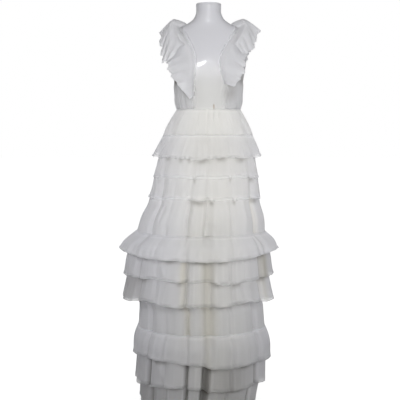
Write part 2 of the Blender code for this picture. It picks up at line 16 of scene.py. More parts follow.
import bpy
import numpy as np
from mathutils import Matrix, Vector

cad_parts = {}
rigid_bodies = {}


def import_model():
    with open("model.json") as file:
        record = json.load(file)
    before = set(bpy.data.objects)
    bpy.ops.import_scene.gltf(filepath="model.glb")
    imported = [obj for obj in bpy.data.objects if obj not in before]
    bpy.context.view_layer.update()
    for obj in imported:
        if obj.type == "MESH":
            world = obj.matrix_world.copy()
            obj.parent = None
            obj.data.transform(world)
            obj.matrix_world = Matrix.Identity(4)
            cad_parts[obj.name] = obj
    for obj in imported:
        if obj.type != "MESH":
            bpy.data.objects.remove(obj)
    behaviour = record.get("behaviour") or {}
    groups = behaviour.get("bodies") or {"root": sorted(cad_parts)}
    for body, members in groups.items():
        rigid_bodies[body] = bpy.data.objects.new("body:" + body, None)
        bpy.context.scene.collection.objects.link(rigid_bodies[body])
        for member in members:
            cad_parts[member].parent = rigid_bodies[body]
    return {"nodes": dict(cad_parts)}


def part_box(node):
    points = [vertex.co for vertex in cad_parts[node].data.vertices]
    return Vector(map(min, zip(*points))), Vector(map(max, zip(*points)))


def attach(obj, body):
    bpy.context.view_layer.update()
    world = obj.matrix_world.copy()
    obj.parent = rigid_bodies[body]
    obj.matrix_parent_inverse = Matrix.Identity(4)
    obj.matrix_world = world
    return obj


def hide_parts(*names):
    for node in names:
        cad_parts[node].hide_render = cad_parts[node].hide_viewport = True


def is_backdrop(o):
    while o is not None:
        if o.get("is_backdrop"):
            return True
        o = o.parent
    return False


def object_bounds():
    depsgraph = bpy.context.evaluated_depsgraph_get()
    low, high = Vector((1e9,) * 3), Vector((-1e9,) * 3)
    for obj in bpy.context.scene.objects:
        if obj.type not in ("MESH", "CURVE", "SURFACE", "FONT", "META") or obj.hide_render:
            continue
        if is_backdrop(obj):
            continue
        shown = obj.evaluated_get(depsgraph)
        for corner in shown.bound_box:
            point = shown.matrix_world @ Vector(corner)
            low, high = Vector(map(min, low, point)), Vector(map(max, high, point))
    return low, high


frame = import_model()
CAD_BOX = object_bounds()
print("nodes in the frame:", len(frame["nodes"]))

# %% [markdown]
# ## Where everything stands
#
# Sizes come from the frame, in metres. The dress faces -Y, and angles run round the body from
# 0 at the centre front towards the wearer's left, which is +X. A few heights carry the whole
# dress: the waist seam, the seams that the tiers hang from, and the hem just above the floor.

# %% Heights that the frame gives
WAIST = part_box("skirt_yoke")[1].z
FORM_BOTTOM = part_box("dress_form")[0].z
NECK_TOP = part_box("dress_form")[1].z
HIP_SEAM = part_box("skirt_yoke")[0].z
THIGH_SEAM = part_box("tier_thigh")[1].z
PANEL_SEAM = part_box("panel_thigh")[1].z
KNEE_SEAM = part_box("tier_knee_upper")[1].z
CALF_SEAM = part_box("panel_calf")[1].z
LOW_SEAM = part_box("flounce_calf")[1].z
HEM_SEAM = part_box("tier_hem_lower")[1].z
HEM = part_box("tier_hem_lower")[0].z
print("waist", round(WAIST, 3), "hip seam", round(HIP_SEAM, 3), "hem", round(HEM, 3))

# %% Small tools for curves
def table(kind, *rows):
    """A table: each row of plain values gets the column names of its kind."""
    return [kind(*row) for row in rows]


def column(rows, name):
    """One named column of a table."""
    return np.array([getattr(row, name) for row in rows], float)


def smooth_between(places, values, at):
    """A smooth curve through table rows: cubic Hermite, with the slope at each row taken from
    its neighbours."""
    places, values, at = (np.asarray(a, float) for a in (places, values, at))
    order = np.argsort(places)
    places, values = places[order], values[order]
    slopes = np.gradient(values, places)
    i = np.clip(np.searchsorted(places, at, side="right") - 1, 0, len(places) - 2)
    step = places[i + 1] - places[i]
    t = np.clip((at - places[i]) / step, 0.0, 1.0)
    return (
        (1 + 2 * t) * (1 - t) ** 2 * values[i]
        + t * (1 - t) ** 2 * step * slopes[i]
        + t * t * (3 - 2 * t) * values[i + 1]
        + t * t * (t - 1) * step * slopes[i + 1]
    )


def straight_between(places, values, at):
    """Straight lines through table rows."""
    return np.interp(at, places, values)


def curves(rows, labels, at, key="height", between=smooth_between):
    """Some columns of a table, each read at the places given along its key column. Without a key
    they are read along the rows' own numbers."""
    places = column(rows, key) if key else np.arange(len(rows), dtype=float)
    return [between(places, column(rows, label), at) for label in labels]


def hill(distance, width):
    """A soft hill: exp(-(distance / width)^2), 1 at its top."""
    return np.exp(-((distance / width) ** 2))


def ease(low, high, at):
    """0 below low, 1 above high, and a smooth S between them: 3t^2 - 2t^3."""
    t = np.clip((at - low) / (high - low), 0.0, 1.0)
    return t * t * (3.0 - 2.0 * t)


def turn_between(angle, place):
    """The shortest way round from a place to an angle, in degrees."""
    return (angle - place + 180.0) % 360.0 - 180.0


def unit(vectors):
    """Vectors scaled to length 1."""
    return vectors / np.linalg.norm(vectors, axis=-1, keepdims=True)


print("a hill two widths away is", round(float(hill(2.0, 1.0)), 3))

# %% [markdown]
# ## From a grid of points to a piece
#
# Every surface here is a grid of points P(row, column). A helper joins the points into faces, writes
# the cloth's own measures into a UV map and attributes, and gives the sheet a real thickness. The UV
# map is in metres of cloth, so a weave keeps its scale on every piece. Three more attributes say where
# a cloth thins out, where shade is painted into its colour, or where it lets the ivory slip show.

# %% Make a mesh from a grid
BODY = "root"
CLOTH = 0.0004  # organza is thinner than its collision wall


def grid_faces(rows, columns, closed_round):
    """The corner numbers of each face of a grid, in the order that turns it outwards."""
    across = columns if closed_round else columns - 1
    r, c = np.mgrid[0:rows - 1, 0:across]
    a = r * columns + c
    b = r * columns + (c + 1) % columns
    return np.stack([a, a + columns, b + columns, b], axis=-1).reshape(-1, 4)


def grid_uv(across, down, closed_round):
    """UV for each face corner: metres across the cloth and metres down it."""
    if closed_round:
        across = np.concatenate([across, across[:, :1] + 2 * across[:, -1:] - across[:, -2:-1]], 1)
        down = np.concatenate([down, down[:, :1]], axis=1)
    uv = np.stack([across, down], axis=-1)
    corners = [uv[:-1, :-1], uv[1:, :-1], uv[1:, 1:], uv[:-1, 1:]]
    return np.stack(corners, axis=2).reshape(-1, 2)


def make_piece(
    name, points, closed_round, material, thickness=CLOTH, thin=0.0, deep=0.0, ivory=0.0, caps=(),
):
    """A named piece from a grid of points. Its UV map and attributes hold the cloth's measures: across
    is the length along the hem row, from_seam and from_hem the lengths down and up it. thin says where
    the cloth lies single, so that more shows through, deep where shade is painted into its colour, as
    where a fold turns in towards the shade, and ivory where the slip's colour glows through. caps names
    the end rings, first or last, that a face closes."""
    rows, columns = points.shape[:2]
    steps = np.linalg.norm(np.diff(points, axis=0), axis=-1)
    from_seam = np.concatenate([np.zeros((1, columns)), np.cumsum(steps, axis=0)])
    along_hem = np.linalg.norm(np.diff(points[-1], axis=0), axis=-1)
    across = np.concatenate([[0.0], np.cumsum(along_hem)])[None, :] + 0 * from_seam

    mesh = bpy.data.meshes.new(name)
    faces = grid_faces(rows, columns, closed_round).tolist()
    uv = grid_uv(across, from_seam, closed_round)
    ring = np.arange(columns)
    if "first" in caps:
        faces.append(ring.tolist())
    if "last" in caps:
        faces.append(((rows - 1) * columns + ring)[::-1].tolist())
    uv = np.concatenate([uv, np.zeros((columns * len(caps), 2))])
    mesh.from_pydata(points.reshape(-1, 3).tolist(), [], faces)
    mesh.uv_layers.new(name="cloth").data.foreach_set("uv", uv.ravel())
    for label, values in (
        ("from_seam", from_seam),
        ("from_hem", from_seam[-1:] - from_seam),
        ("thin", thin),
        ("deep", deep),
        ("ivory", ivory),
    ):
        attribute = mesh.attributes.new(label, "FLOAT", "POINT")
        attribute.data.foreach_set("value", (values + 0 * from_seam).ravel())
    mesh.shade_smooth()
    mesh.materials.append(material)
    piece = bpy.data.objects.new(name, mesh)
    bpy.context.scene.collection.objects.link(piece)
    if thickness:
        wall = piece.modifiers.new("cloth thickness", "SOLIDIFY")
        wall.thickness = thickness
        wall.offset = -1.0
    return piece


def place(piece, slot, *nodes):
    """The piece rides on the part's one body and stands for its construction nodes."""
    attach(piece, BODY)
    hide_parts(*nodes)


print("a grid of 3 rows and 4 columns has", len(grid_faces(3, 4, False)), "faces")

# %% [markdown]
# ## Finishes
#
# Organza is a plain weave of very fine, stiff yarns. It is white, it glistens a little along its
# ridges, and one layer hides only part of what is behind it: gathers and hems look whiter because
# the cloth lies double there. So the finish has a group for the yarns, which gives a fine relief,
# and a group for the cover, which says how closely the cloth is packed. The shader mixes a
# see-through part, a Principled part and a Translucent part, which glows when light is behind.
# A see-through shader drops too hard a shadow for a cloth so fine, so its shadow is weakened.

# %% Building blocks for finishes
def put(tree, value, socket):
    """Feeds one input: a socket is linked to it, and a number or a colour becomes its value."""
    if isinstance(value, bpy.types.NodeSocket):
        tree.links.new(value, socket)
    elif socket.type == "RGBA":
        socket.default_value = (*value, 1.0)
    else:
        socket.default_value = value


def feed(tree, node, **values):
    """Feeds a node's inputs by name."""
    for name, value in values.items():
        put(tree, value, node.inputs[name.replace("_", " ")])
    return node


def add_node(tree, kind, **settings):
    """A node in a tree, with its inputs and properties set by name."""
    node = tree.nodes.new(kind)
    for name, value in settings.items():
        if name.replace("_", " ") in node.inputs:
            feed(tree, node, **{name: value})
        else:
            setattr(node, name, value)
    return node


def math_node(tree, operation, *values):
    """The result of a Math node. Each value is a number or the socket that feeds it."""
    node = add_node(tree, "ShaderNodeMath", operation=operation)
    for socket, value in zip(node.inputs, values):
        put(tree, value, socket)
    return node.outputs[0]


def blend(tree, factor, low, high, clamp=True):
    """A colour that runs from low to high as the factor rises."""
    mix = add_node(tree, "ShaderNodeMix", data_type="RGBA", clamp_factor=clamp, Factor=factor)
    put(tree, low, mix.inputs[6])
    put(tree, high, mix.inputs[7])
    return mix.outputs[2]


def mix_shaders(tree, factor, low, high):
    """A shader that runs from low to high as the factor rises."""
    mix = add_node(tree, "ShaderNodeMixShader", Fac=factor)
    tree.links.new(low, mix.inputs[1])
    tree.links.new(high, mix.inputs[2])
    return mix.outputs[0]


def measure(tree, name):
    """An attribute of the mesh, as a number."""
    return add_node(tree, "ShaderNodeAttribute", attribute_name=name).outputs["Fac"]


def object_place(tree):
    """Where the surface is, in metres."""
    return add_node(tree, "ShaderNodeTexCoord").outputs["Object"]


def noise_at(tree, place_at, stretch=None, **settings):
    """Soft noise from 0 to 1. Its place can be scaled first along X, Y and Z."""
    if stretch:
        place_at = add_node(tree, "ShaderNodeMapping", Vector=place_at, Scale=stretch).outputs[0]
    return add_node(tree, "ShaderNodeTexNoise", Vector=place_at, **settings).outputs[0]


def new_group(name, kind, inputs, outputs):
    """An empty shader node group, whose sockets are all of one kind. It comes with its inputs by
    name, its output node and a shortcut for sums in it."""
    tree = bpy.data.node_groups.new(name, "ShaderNodeTree")
    for label, value in inputs.items():
        socket = tree.interface.new_socket(label, in_out="INPUT", socket_type=kind)
        socket.default_value = value
    for label in outputs:
        tree.interface.new_socket(label, in_out="OUTPUT", socket_type=kind)
    given = tree.nodes.new("NodeGroupInput").outputs
    return tree, given, tree.nodes.new("NodeGroupOutput"), partial(math_node, tree)


def use_group(tree, group, **values):
    """A group placed in a tree, with its inputs set by name."""
    node = tree.nodes.new("ShaderNodeGroup")
    node.node_tree = group
    return feed(tree, node, **values).outputs


def new_material(name):
    """A material with its node tree and its Principled surface."""
    material = bpy.data.materials.new(name)
    material.use_nodes = True
    return material, material.node_tree, material.node_tree.nodes["Principled BSDF"]


print("tools for finishes ready")

# %% The yarns
def yarns_group():
    """Relief = sin(across / pitch) and sin(down / pitch) crossed, each broken by a little noise, so
    that the weave is fine and even but not printed."""
    tree, given, out, calc = new_group(
        "woven yarns", "NodeSocketFloat", {"Yarns": 900.0, "Unevenness": 0.5}, ("Relief", "Slubs"),
    )
    uv = add_node(tree, "ShaderNodeUVMap", uv_map="cloth").outputs[0]
    axes = add_node(tree, "ShaderNodeSeparateXYZ", Vector=uv).outputs
    noise = noise_at(tree, uv, Scale=60.0, Detail=3.0)
    sway = calc("MULTIPLY", noise, given["Unevenness"])
    waves = [
        calc("SINE", calc("MULTIPLY_ADD", calc("MULTIPLY", axis, given["Yarns"]), math.tau, sway))
        for axis in (axes[0], axes[1])
    ]
    feed(tree, out, Relief=calc("MULTIPLY", *waves), Slubs=noise)
    return tree


YARNS = yarns_group()
print("group:", YARNS.name)

# %% The cover
SEAM_GAIN = 0.12  # the cover gained where the cloth is gathered at its seam
HEM_GAIN = 0.22  # and where it lies double in its rolled hem
STREAK_SCALE = (26.0, 2.0, 1.0)  # streaks are narrow across the cloth and long down it


def cover_group():
    """Cover = the cloth's own cover, raised within a narrow band at its gathering seam and at its
    rolled hem, and varied by long soft streaks where the gathers bunch the cloth. Where the thin
    attribute rises, the cover falls."""
    tree, given, out, calc = new_group(
        "cloth cover",
        "NodeSocketFloat",
        {"Cover": 0.8, "Seam": 0.02, "Hem": 0.003, "Streaks": 0.1},
        ("Cover", "Cloth", "Streak"),
    )
    at_seam, at_hem = (
        calc("SUBTRACT", 1.0, calc("MINIMUM", calc("DIVIDE", measure(tree, label), given[width]), 1.0))
        for label, width in (("from_seam", "Seam"), ("from_hem", "Hem"))
    )
    uv = add_node(tree, "ShaderNodeUVMap", uv_map="cloth").outputs[0]
    noise = noise_at(tree, uv, STREAK_SCALE, Scale=1.0, Detail=2.5, Roughness=0.5)
    streak = calc("MULTIPLY", calc("SUBTRACT", noise, 0.5), given["Streaks"])
    cover = calc("MULTIPLY_ADD", streak, 2.0, given["Cover"])
    cover = calc("MULTIPLY_ADD", at_seam, SEAM_GAIN, cover)
    cover = calc("ADD", cover, calc("MULTIPLY", calc("SQRT", at_hem), HEM_GAIN))
    cover = calc("MAXIMUM", calc("MINIMUM", cover, 1.0), 0.0)
    packed = calc("SUBTRACT", 1.0, measure(tree, "thin"))
    feed(
        tree, out,
        Cover=calc("MULTIPLY", cover, packed), Cloth=calc("MINIMUM", packed, 1.0), Streak=noise,
    )
    return tree


COVER = cover_group()
print("group:", COVER.name)

# %% The tint
WARM_MIDDLE = 0.015  # the slip's warmth is strongest this far to the left of the middle line
WARM_REACH = 0.13  # and half as strong this far from there


def tint_group():
    """Colour = warm where the ivory slip glows through the middle of the front, cool elsewhere, with a
    soft mottle, then ivory as the ivory attribute rises, and darkened towards the painted shade colour
    as deep rises. The warmth is 1/2 to the power of (distance from the middle / reach)^2. Less than no
    shade paints the cloth whiter, a painted light."""
    tree, given, out, calc = new_group(
        "cloth tint",
        "NodeSocketColor",
        {
            "Warm": (0.9, 0.88, 0.85, 1.0),
            "Cool": (0.85, 0.85, 0.88, 1.0),
            "Ivory": (0.91, 0.89, 0.82, 1.0),
            "Shade": (0.16, 0.14, 0.11, 1.0),
        },
        ("Colour",),
    )
    place_at = object_place(tree)
    across = add_node(tree, "ShaderNodeSeparateXYZ", Vector=place_at).outputs[0]
    side = calc("DIVIDE", calc("SUBTRACT", across, WARM_MIDDLE), WARM_REACH)
    warmth = calc("POWER", 0.5, calc("POWER", calc("ABSOLUTE", side), 2.0))
    mottle = calc("ADD", noise_at(tree, place_at, Scale=9.0, Detail=3.0), 0.45)
    colour = blend(tree, calc("MULTIPLY", warmth, mottle), given["Cool"], given["Warm"])
    for label, tone in (("ivory", "Ivory"), ("deep", "Shade")):
        colour = blend(tree, measure(tree, label), colour, given[tone], clamp=False)
    feed(tree, out, Colour=colour)
    return tree


TINT = tint_group()
print("group:", TINT.name)

# %% Sheer organza
SHADOW_LOSS = 0.35  # close cloth drops a shadow weaker by this share, and thin cloth hardly any
SHADOW_POWER = 0.45  # below 1, a shadow stays strong until the cloth is nearly gone
ASLANT_GAIN = 0.8  # seen edge-on, the yarns close this share of the gaps
YARN_HEIGHT = 0.0004
ROUGHNESS = 0.55
SLUB_ROUGHNESS = 0.2  # uneven yarns are rougher by up to this


def organza(name, cover, warm, cool, hem, seam=0.02, streaks=0.05, glow=0.45):
    """Shader = see-through where the cloth doesn't cover, and elsewhere a share of it shines
    through from behind (glow) while the rest is a rough, slightly glistening surface. Seen
    aslant, the yarns close up, so the cover rises with the square of the facing weight. To a
    shadow ray the cover counts for less, and least where the cloth is thin."""
    material, tree, surface = new_material(name)
    calc = partial(math_node, tree)
    tint = use_group(tree, TINT, Warm=warm, Cool=cool)["Colour"]
    threads = use_group(tree, YARNS)
    packed = use_group(tree, COVER, Cover=cover, Seam=seam, Hem=hem, Streaks=streaks)
    relief = calc("ADD", packed["Streak"], threads["Relief"])
    bump = add_node(tree, "ShaderNodeBump", Height=relief, Strength=0.35, Distance=YARN_HEIGHT)
    bump = bump.outputs[0]
    feed(
        tree, surface, Base_Color=tint, Normal=bump, Specular_IOR_Level=0.25,
        Roughness=calc("MULTIPLY_ADD", threads["Slubs"], SLUB_ROUGHNESS, ROUGHNESS),
        Sheen_Weight=0.25, Sheen_Roughness=0.4,
    )
    glowing = add_node(tree, "ShaderNodeBsdfTranslucent", Color=tint, Normal=bump)
    cloth = mix_shaders(tree, glow, surface.outputs[0], glowing.outputs[0])

    facing = add_node(tree, "ShaderNodeLayerWeight", Blend=0.5).outputs["Facing"]
    aslant = calc("MULTIPLY", calc("POWER", facing, 2.0), ASLANT_GAIN)
    aslant = calc("MULTIPLY", aslant, calc("SUBTRACT", 1.0, packed["Cover"]))
    covered = calc("ADD", packed["Cover"], calc("MULTIPLY", aslant, packed["Cloth"]))
    dense = calc("POWER", packed["Cloth"], SHADOW_POWER)
    loss = calc("SUBTRACT", 1.0, calc("MULTIPLY", dense, 1.0 - SHADOW_LOSS))
    to_shadow = add_node(tree, "ShaderNodeLightPath").outputs["Is Shadow Ray"]
    let_by = calc("SUBTRACT", 1.0, calc("MULTIPLY", to_shadow, loss))
    clear = add_node(tree, "ShaderNodeBsdfTransparent").outputs[0]
    whole = mix_shaders(tree, calc("MULTIPLY", covered, let_by), clear, cloth)
    tree.links.new(whole, tree.nodes["Material Output"].inputs["Surface"])
    return material


WARM = (0.89, 0.885, 0.872)
COOL = (0.88, 0.88, 0.905)
# Painted shade: SHADY is the same organza's colour painted darker, for the bodice and the ruffles, to
# stand for the shade that they lie in.
SHADY = (0.80, 0.80, 0.815)
TIER_CLOTH = organza("tier_organza", 0.46, WARM, COOL, 0.004)
PANEL_CLOTH = organza("panel_organza", 0.54, WARM, COOL, 0.003)
RUFFLE_CLOTH = organza("ruffle_organza", 0.74, SHADY, SHADY, 0.003, seam=0.001)
BODICE_CLOTH = organza("bodice_organza", 0.62, SHADY, SHADY, 0.001, seam=0.001)
print("cloths:", [m.name for m in bpy.data.materials])

# %% Smooth finishes
PAINTED_BOUNCE_BAND = (1.24, 1.40)  # painted reflected light: a lighter, warmer colour takes over below the chest, between these heights
EVEN_GRAIN = (6.0, 6.0, 6.0, 0.02)
GRAIN_HEIGHT = 0.001
GRAIN_ROUGHNESS = 0.1  # how much rougher one mark is than another
DARKER, LIGHTER = 0.96, 1.03  # how far the fine marks change the colour
COAT_ROUGHNESS = 0.085


def smooth_finish(name, colour, roughness, coat=0.0, grain=EVEN_GRAIN, low=None):
    """A finish with no threads: glossy moulded plastic, paint, satin or ribbon. grain is (scale along
    X, Y, Z, strength) for the fine marks in its surface. low is a second colour for the part below the
    chest: painted reflected light, the lighter and warmer glow that the dress throws back on the torso."""
    material, tree, surface = new_material(name)
    place_at = object_place(tree)
    *scale, strength = grain
    noise = noise_at(tree, place_at, scale, Scale=1.0, Detail=4.0)
    dark, light = ([min(1.0, share * c) for c in colour] for share in (DARKER, LIGHTER))
    tone = blend(tree, noise, dark, light)
    if low:
        height = add_node(tree, "ShaderNodeSeparateXYZ", Vector=place_at).outputs[2]
        band = add_node(
            tree, "ShaderNodeMapRange", interpolation_type="SMOOTHSTEP", Value=height,
            From_Min=PAINTED_BOUNCE_BAND[0], From_Max=PAINTED_BOUNCE_BAND[1],
        )
        tone = blend(tree, band.outputs[0], low, tone)
    bump = add_node(tree, "ShaderNodeBump", Height=noise, Strength=strength, Distance=GRAIN_HEIGHT)
    feed(
        tree, surface, Base_Color=tone, Normal=bump.outputs[0],
        Roughness=math_node(
            tree, "MULTIPLY_ADD", noise, GRAIN_ROUGHNESS, roughness - GRAIN_ROUGHNESS / 2,
        ),
        Coat_Weight=coat, Coat_Roughness=COAT_ROUGHNESS,
    )
    return material


SLIP_SATIN = smooth_finish("slip_satin", (0.73, 0.725, 0.70), 0.55, grain=(70.0, 70.0, 5.0, 0.05))
RIBBON = smooth_finish("loop_ribbon", (0.44, 0.35, 0.27), 0.60, grain=(900.0, 900.0, 900.0, 0.1))
# Painted reflected light: below the chest the torso is painted lighter and warmer, for the glow that
# the white dress throws back on it.
GLOSS = smooth_finish("form_gloss", (0.555, 0.555, 0.584), 0.45, coat=0.6, low=(0.605, 0.603, 0.592))
PAINT = smooth_finish("stand_paint", (0.05, 0.05, 0.055), 0.40, grain=(30.0, 30.0, 900.0, 0.06))
print("finishes:", [m.name for m in bpy.data.materials])

# %% [markdown]
# ## The dress form
#
# The dress hangs on a glossy, headless and armless torso. Its figure is a stack of ovals: each
# table row gives half its width and how deep it is in front and behind. Between the rows a smooth
# curve runs, and a soft hill at each side shapes the bust.

# %% The figure
FormSection = namedtuple("FormSection", "height half_width front back")
FORM_SECTIONS = table(
    FormSection,
    (FORM_BOTTOM, 0.150, 0.090, 0.105), (0.890, 0.159, 0.096, 0.118), (0.960, 0.165, 0.098, 0.126),
    (1.030, 0.154, 0.096, 0.112), (1.100, 0.131, 0.090, 0.092), (1.160, 0.1180, 0.085, 0.084),
    (1.200, 0.1190, 0.088, 0.083), (1.250, 0.1270, 0.097, 0.088), (1.310, 0.1400, 0.106, 0.095),
    (1.370, 0.1490, 0.103, 0.099), (1.430, 0.1540, 0.086, 0.098), (1.465, 0.1500, 0.071, 0.088),
    (1.490, 0.1310, 0.060, 0.075), (1.505, 0.1060, 0.0545, 0.066), (1.516, 0.0850, 0.0520, 0.059),
    (1.530, 0.0650, 0.0510, 0.053), (1.552, 0.0515, 0.0515, 0.049), (NECK_TOP, 0.0492, 0.0535, 0.0465),
)
BUST_HEIGHT = 1.322
BUST_SPREAD = 0.052
BUST_ANGLE = 36.0
BUST_WIDTH = 20.0
BUST_DEPTH = 0.016
CENTRE_BACK = -180.0  # every grid that goes right round starts here


def all_round(columns):
    """The angles of a grid's columns, from the centre back right round to it, in degrees."""
    return np.linspace(CENTRE_BACK, CENTRE_BACK + 360.0, columns, endpoint=False)


def figure_size(height):
    """Half the figure's width at a height, and its depths in front and behind."""
    return curves(FORM_SECTIONS, ("half_width", "front", "back"), height)


def figure_point(angle, height):
    """x = (half width + bust) sin a, y = -(depth + bust) cos a, where the bust is a hill on both
    height and angle."""
    theta = np.radians(angle)
    width, front, back = figure_size(height)
    bust = BUST_DEPTH * hill(height - BUST_HEIGHT, BUST_SPREAD)
    bust = bust * hill(np.abs(angle) - BUST_ANGLE, BUST_WIDTH)
    depth = np.where(np.cos(theta) > 0, front, back)
    x = (width + bust) * np.sin(theta)
    y = -(depth + bust) * np.cos(theta)
    return np.stack([x, y, height + 0 * theta], axis=-1)


def figure_normal(angle, height):
    """The way out of the figure: the cross product of a step round it and a step up it."""
    around = figure_point(angle + 0.5, height) - figure_point(angle - 0.5, height)
    up = figure_point(angle, height + 0.001) - figure_point(angle, height - 0.001)
    return unit(np.cross(around, up))


print("the waist is", round(2 * float(figure_size(WAIST)[0]), 3), "m across")

# %% The form
SHOULDER_FOOT = 1.44  # the rings lie close together from the neck top to here
LOWER_TOP = 1.436  # and further apart from here down
END_RINGS = np.array([0.985, 0.90, 0.60, 0.25, 0.002])  # how far each ring of an end is drawn in


def close_ends(points):
    """A grid of rings with each end drawn in to a pole, in a few rings that follow a rim."""
    ends = []
    for ring in (points[0], points[-1]):
        middle = ring.mean(axis=0)
        ends.append(middle + (ring - middle) * END_RINGS[:, None, None])
    return np.concatenate([ends[0][::-1], points, ends[1]])


def make_form():
    """Rings of the figure from the neck down to the cut-off hips, closed at both ends. They lie
    closest together on the neck and the shoulders, which show."""
    above = np.linspace(NECK_TOP, SHOULDER_FOOT, 70)
    below = np.linspace(LOWER_TOP, FORM_BOTTOM, 72)
    height = np.concatenate([above, below])[:, None]
    points = close_ends(figure_point(all_round(128)[None, :], height))
    shell = make_piece("dress_form_shell", points, True, GLOSS, 0, caps=("first", "last"))
    place(shell, "pale_gloss", "dress_form")


make_form()
print("dress form made, neck top at", round(NECK_TOP, 3))

# %% [markdown]
# ## The stand
#
# A cap closes the neck, with the torso's own gloss. Under the torso a flange carries it on a pole
# with a round base plate, all three in satin black paint. Every part is turned on one axis, so a
# profile of (radius, height) corners is swept round. Small chamfers catch the light as they do on
# real turned parts.

# %% Turned parts
def sweep(profile, columns):
    """P(turn, i) = (r_i sin turn, -r_i cos turn, z_i): a profile swept round the Z axis."""
    turn = np.linspace(0.0, math.tau, columns, endpoint=False)[None, :]
    radius, height = (np.array(values)[:, None] for values in zip(*profile))
    return np.stack([radius * np.sin(turn), -radius * np.cos(turn), height + 0 * turn], axis=-1)


AXIS = 0.0002  # a profile starts and ends this near the axis, and a small face closes it


def rounded(radius, top, bottom, edge):
    """A disc's profile from the middle of its top to the middle of its underside, with chamfers."""
    return [
        (AXIS, top), (radius * 0.5, top), (radius - edge * 1.6, top),
        (radius - edge * 0.5, top - edge * 0.25), (radius - edge * 0.1, top - edge * 0.7),
        (radius, top - edge * 1.3), (radius, bottom + edge * 0.3),
        (radius - edge * 0.3, bottom), (radius * 0.5, bottom), (AXIS, bottom),
    ]


def make_stand():
    """The neck cap, the flange, the pole and the base plate, each inside its node's box."""
    for name, node, edge, material, slot in (
        ("neck_cap_disc", "neck_cap", 0.0020, GLOSS, "pale_gloss"),
        ("stand_flange_disc", "stand_flange", 0.0030, PAINT, "black_metal"),
        ("stand_pole_tube", "stand_pole", 0.0006, PAINT, "black_metal"),
        ("stand_base_plate", "stand_base", 0.0022, PAINT, "black_metal"),
    ):
        low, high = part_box(node)
        points = sweep(rounded((high.x - low.x) / 2, high.z, low.z, edge), 96)
        place(make_piece(name, points, True, material, 0, caps=("first", "last")), slot, node)


make_stand()
print("stand made")

# %% [markdown]
# ## The bodice
#
# Four panels are gathered on to the waist seam and hang from the shoulders. In front they leave
# a deep V open. A panel is cut between its neckline and its armhole, so the grid runs from one
# edge to the other at every level. The cloth stands a little off the form: most where it
# blouses over the waist seam, and least where the shoulders carry it. Gathers fan up from the
# seam, deep at first and gone by the bust.

# %% How the bodice is cut
Ease = namedtuple("Ease", "height room")
BODICE_EASE = table(
    Ease,
    (WAIST, 0.0068), (1.205, 0.0125), (1.245, 0.0085), (1.285, 0.0045),
    (1.330, 0.0030), (1.420, 0.0022), (1.480, 0.0024), (1.520, 0.0024),
)
WALL = 0.0012  # the thickness that the construction gives each cloth wall
UNDERARM = 1.258
PanelRow = namedtuple("PanelRow", "neck_angle neck_height arm_angle arm_height")
FRONT_PANEL = table(
    PanelRow,
    (23.8, WAIST, 90.0, WAIST), (21.7, 1.212, 90.0, 1.212), (21.5, 1.245, 90.0, 1.235),
    (22.1, 1.280, 90.0, UNDERARM), (18.5, 1.325, 74.0, 1.285), (18.3, 1.370, 63.0, 1.325),
    (21.4, 1.410, 57.0, 1.370), (28.2, 1.450, 57.0, 1.415), (38.0, 1.477, 62.0, 1.450),
    (52.0, 1.495, 71.0, 1.474), (70.0, 1.505, 81.0, 1.486), (89.9, 1.509, 89.9, 1.490),
)
BACK_PANEL = table(
    PanelRow,
    (180.0, WAIST, 90.0, WAIST), (180.0, 1.212, 90.0, 1.212), (180.0, 1.245, 90.0, 1.235),
    (180.0, 1.285, 90.0, UNDERARM), (174.0, 1.330, 101.0, 1.285), (165.0, 1.375, 113.0, 1.325),
    (157.0, 1.415, 121.0, 1.370), (149.0, 1.450, 122.0, 1.415), (140.0, 1.477, 117.0, 1.450),
    (127.0, 1.495, 109.0, 1.474), (109.0, 1.505, 99.0, 1.486), (90.1, 1.509, 90.1, 1.490),
)
Gather = namedtuple("Gather", "count size reach")  # reach is how soon it fades above the waist
GATHERS = table(Gather, (46.0, 0.0004, 0.030), (19.0, 0.0013, 0.075), (8.0, 0.0012, 0.16))
print("rows of a front panel:", len(FRONT_PANEL), "gathers:", len(GATHERS))

# %% The bodice panels
LEAST_ROOM = 0.0006  # a gather never comes nearer to the form than this
WANDER = 1.6  # how many radians the gathers wander as they go round the body
FAN = 14.0  # and how many they lean for each metre up, at the armhole
DRAPE_LEAN = 22.0  # the broad drape leans by this for each metre up
UNDERARM_SHADE = {1: 0.45, -1: 0.90}  # how deep the painted shade under each arm's ruffle is in front
UNDERARM_BAND = (0.036, 0.018)  # how far above the underarm it lies, and how wide it is
NECK_SHADE = {1: 0.36, -1: 0.18}  # the painted shade where the ruffle's lower end hangs beside the V
NECK_BAND = (1.243, 0.030)  # its height and how wide it is


def bodice_room(height):
    """How far the bodice stands off the form at a height."""
    return curves(BODICE_EASE, ("room",), height)[0]


def bodice_point(angle, height, extra=0.0):
    """The figure moved out along its normal by the ease at that height and the wall."""
    out = bodice_room(height) + WALL + extra
    return figure_point(angle, height) + figure_normal(angle, height) * out[..., None]


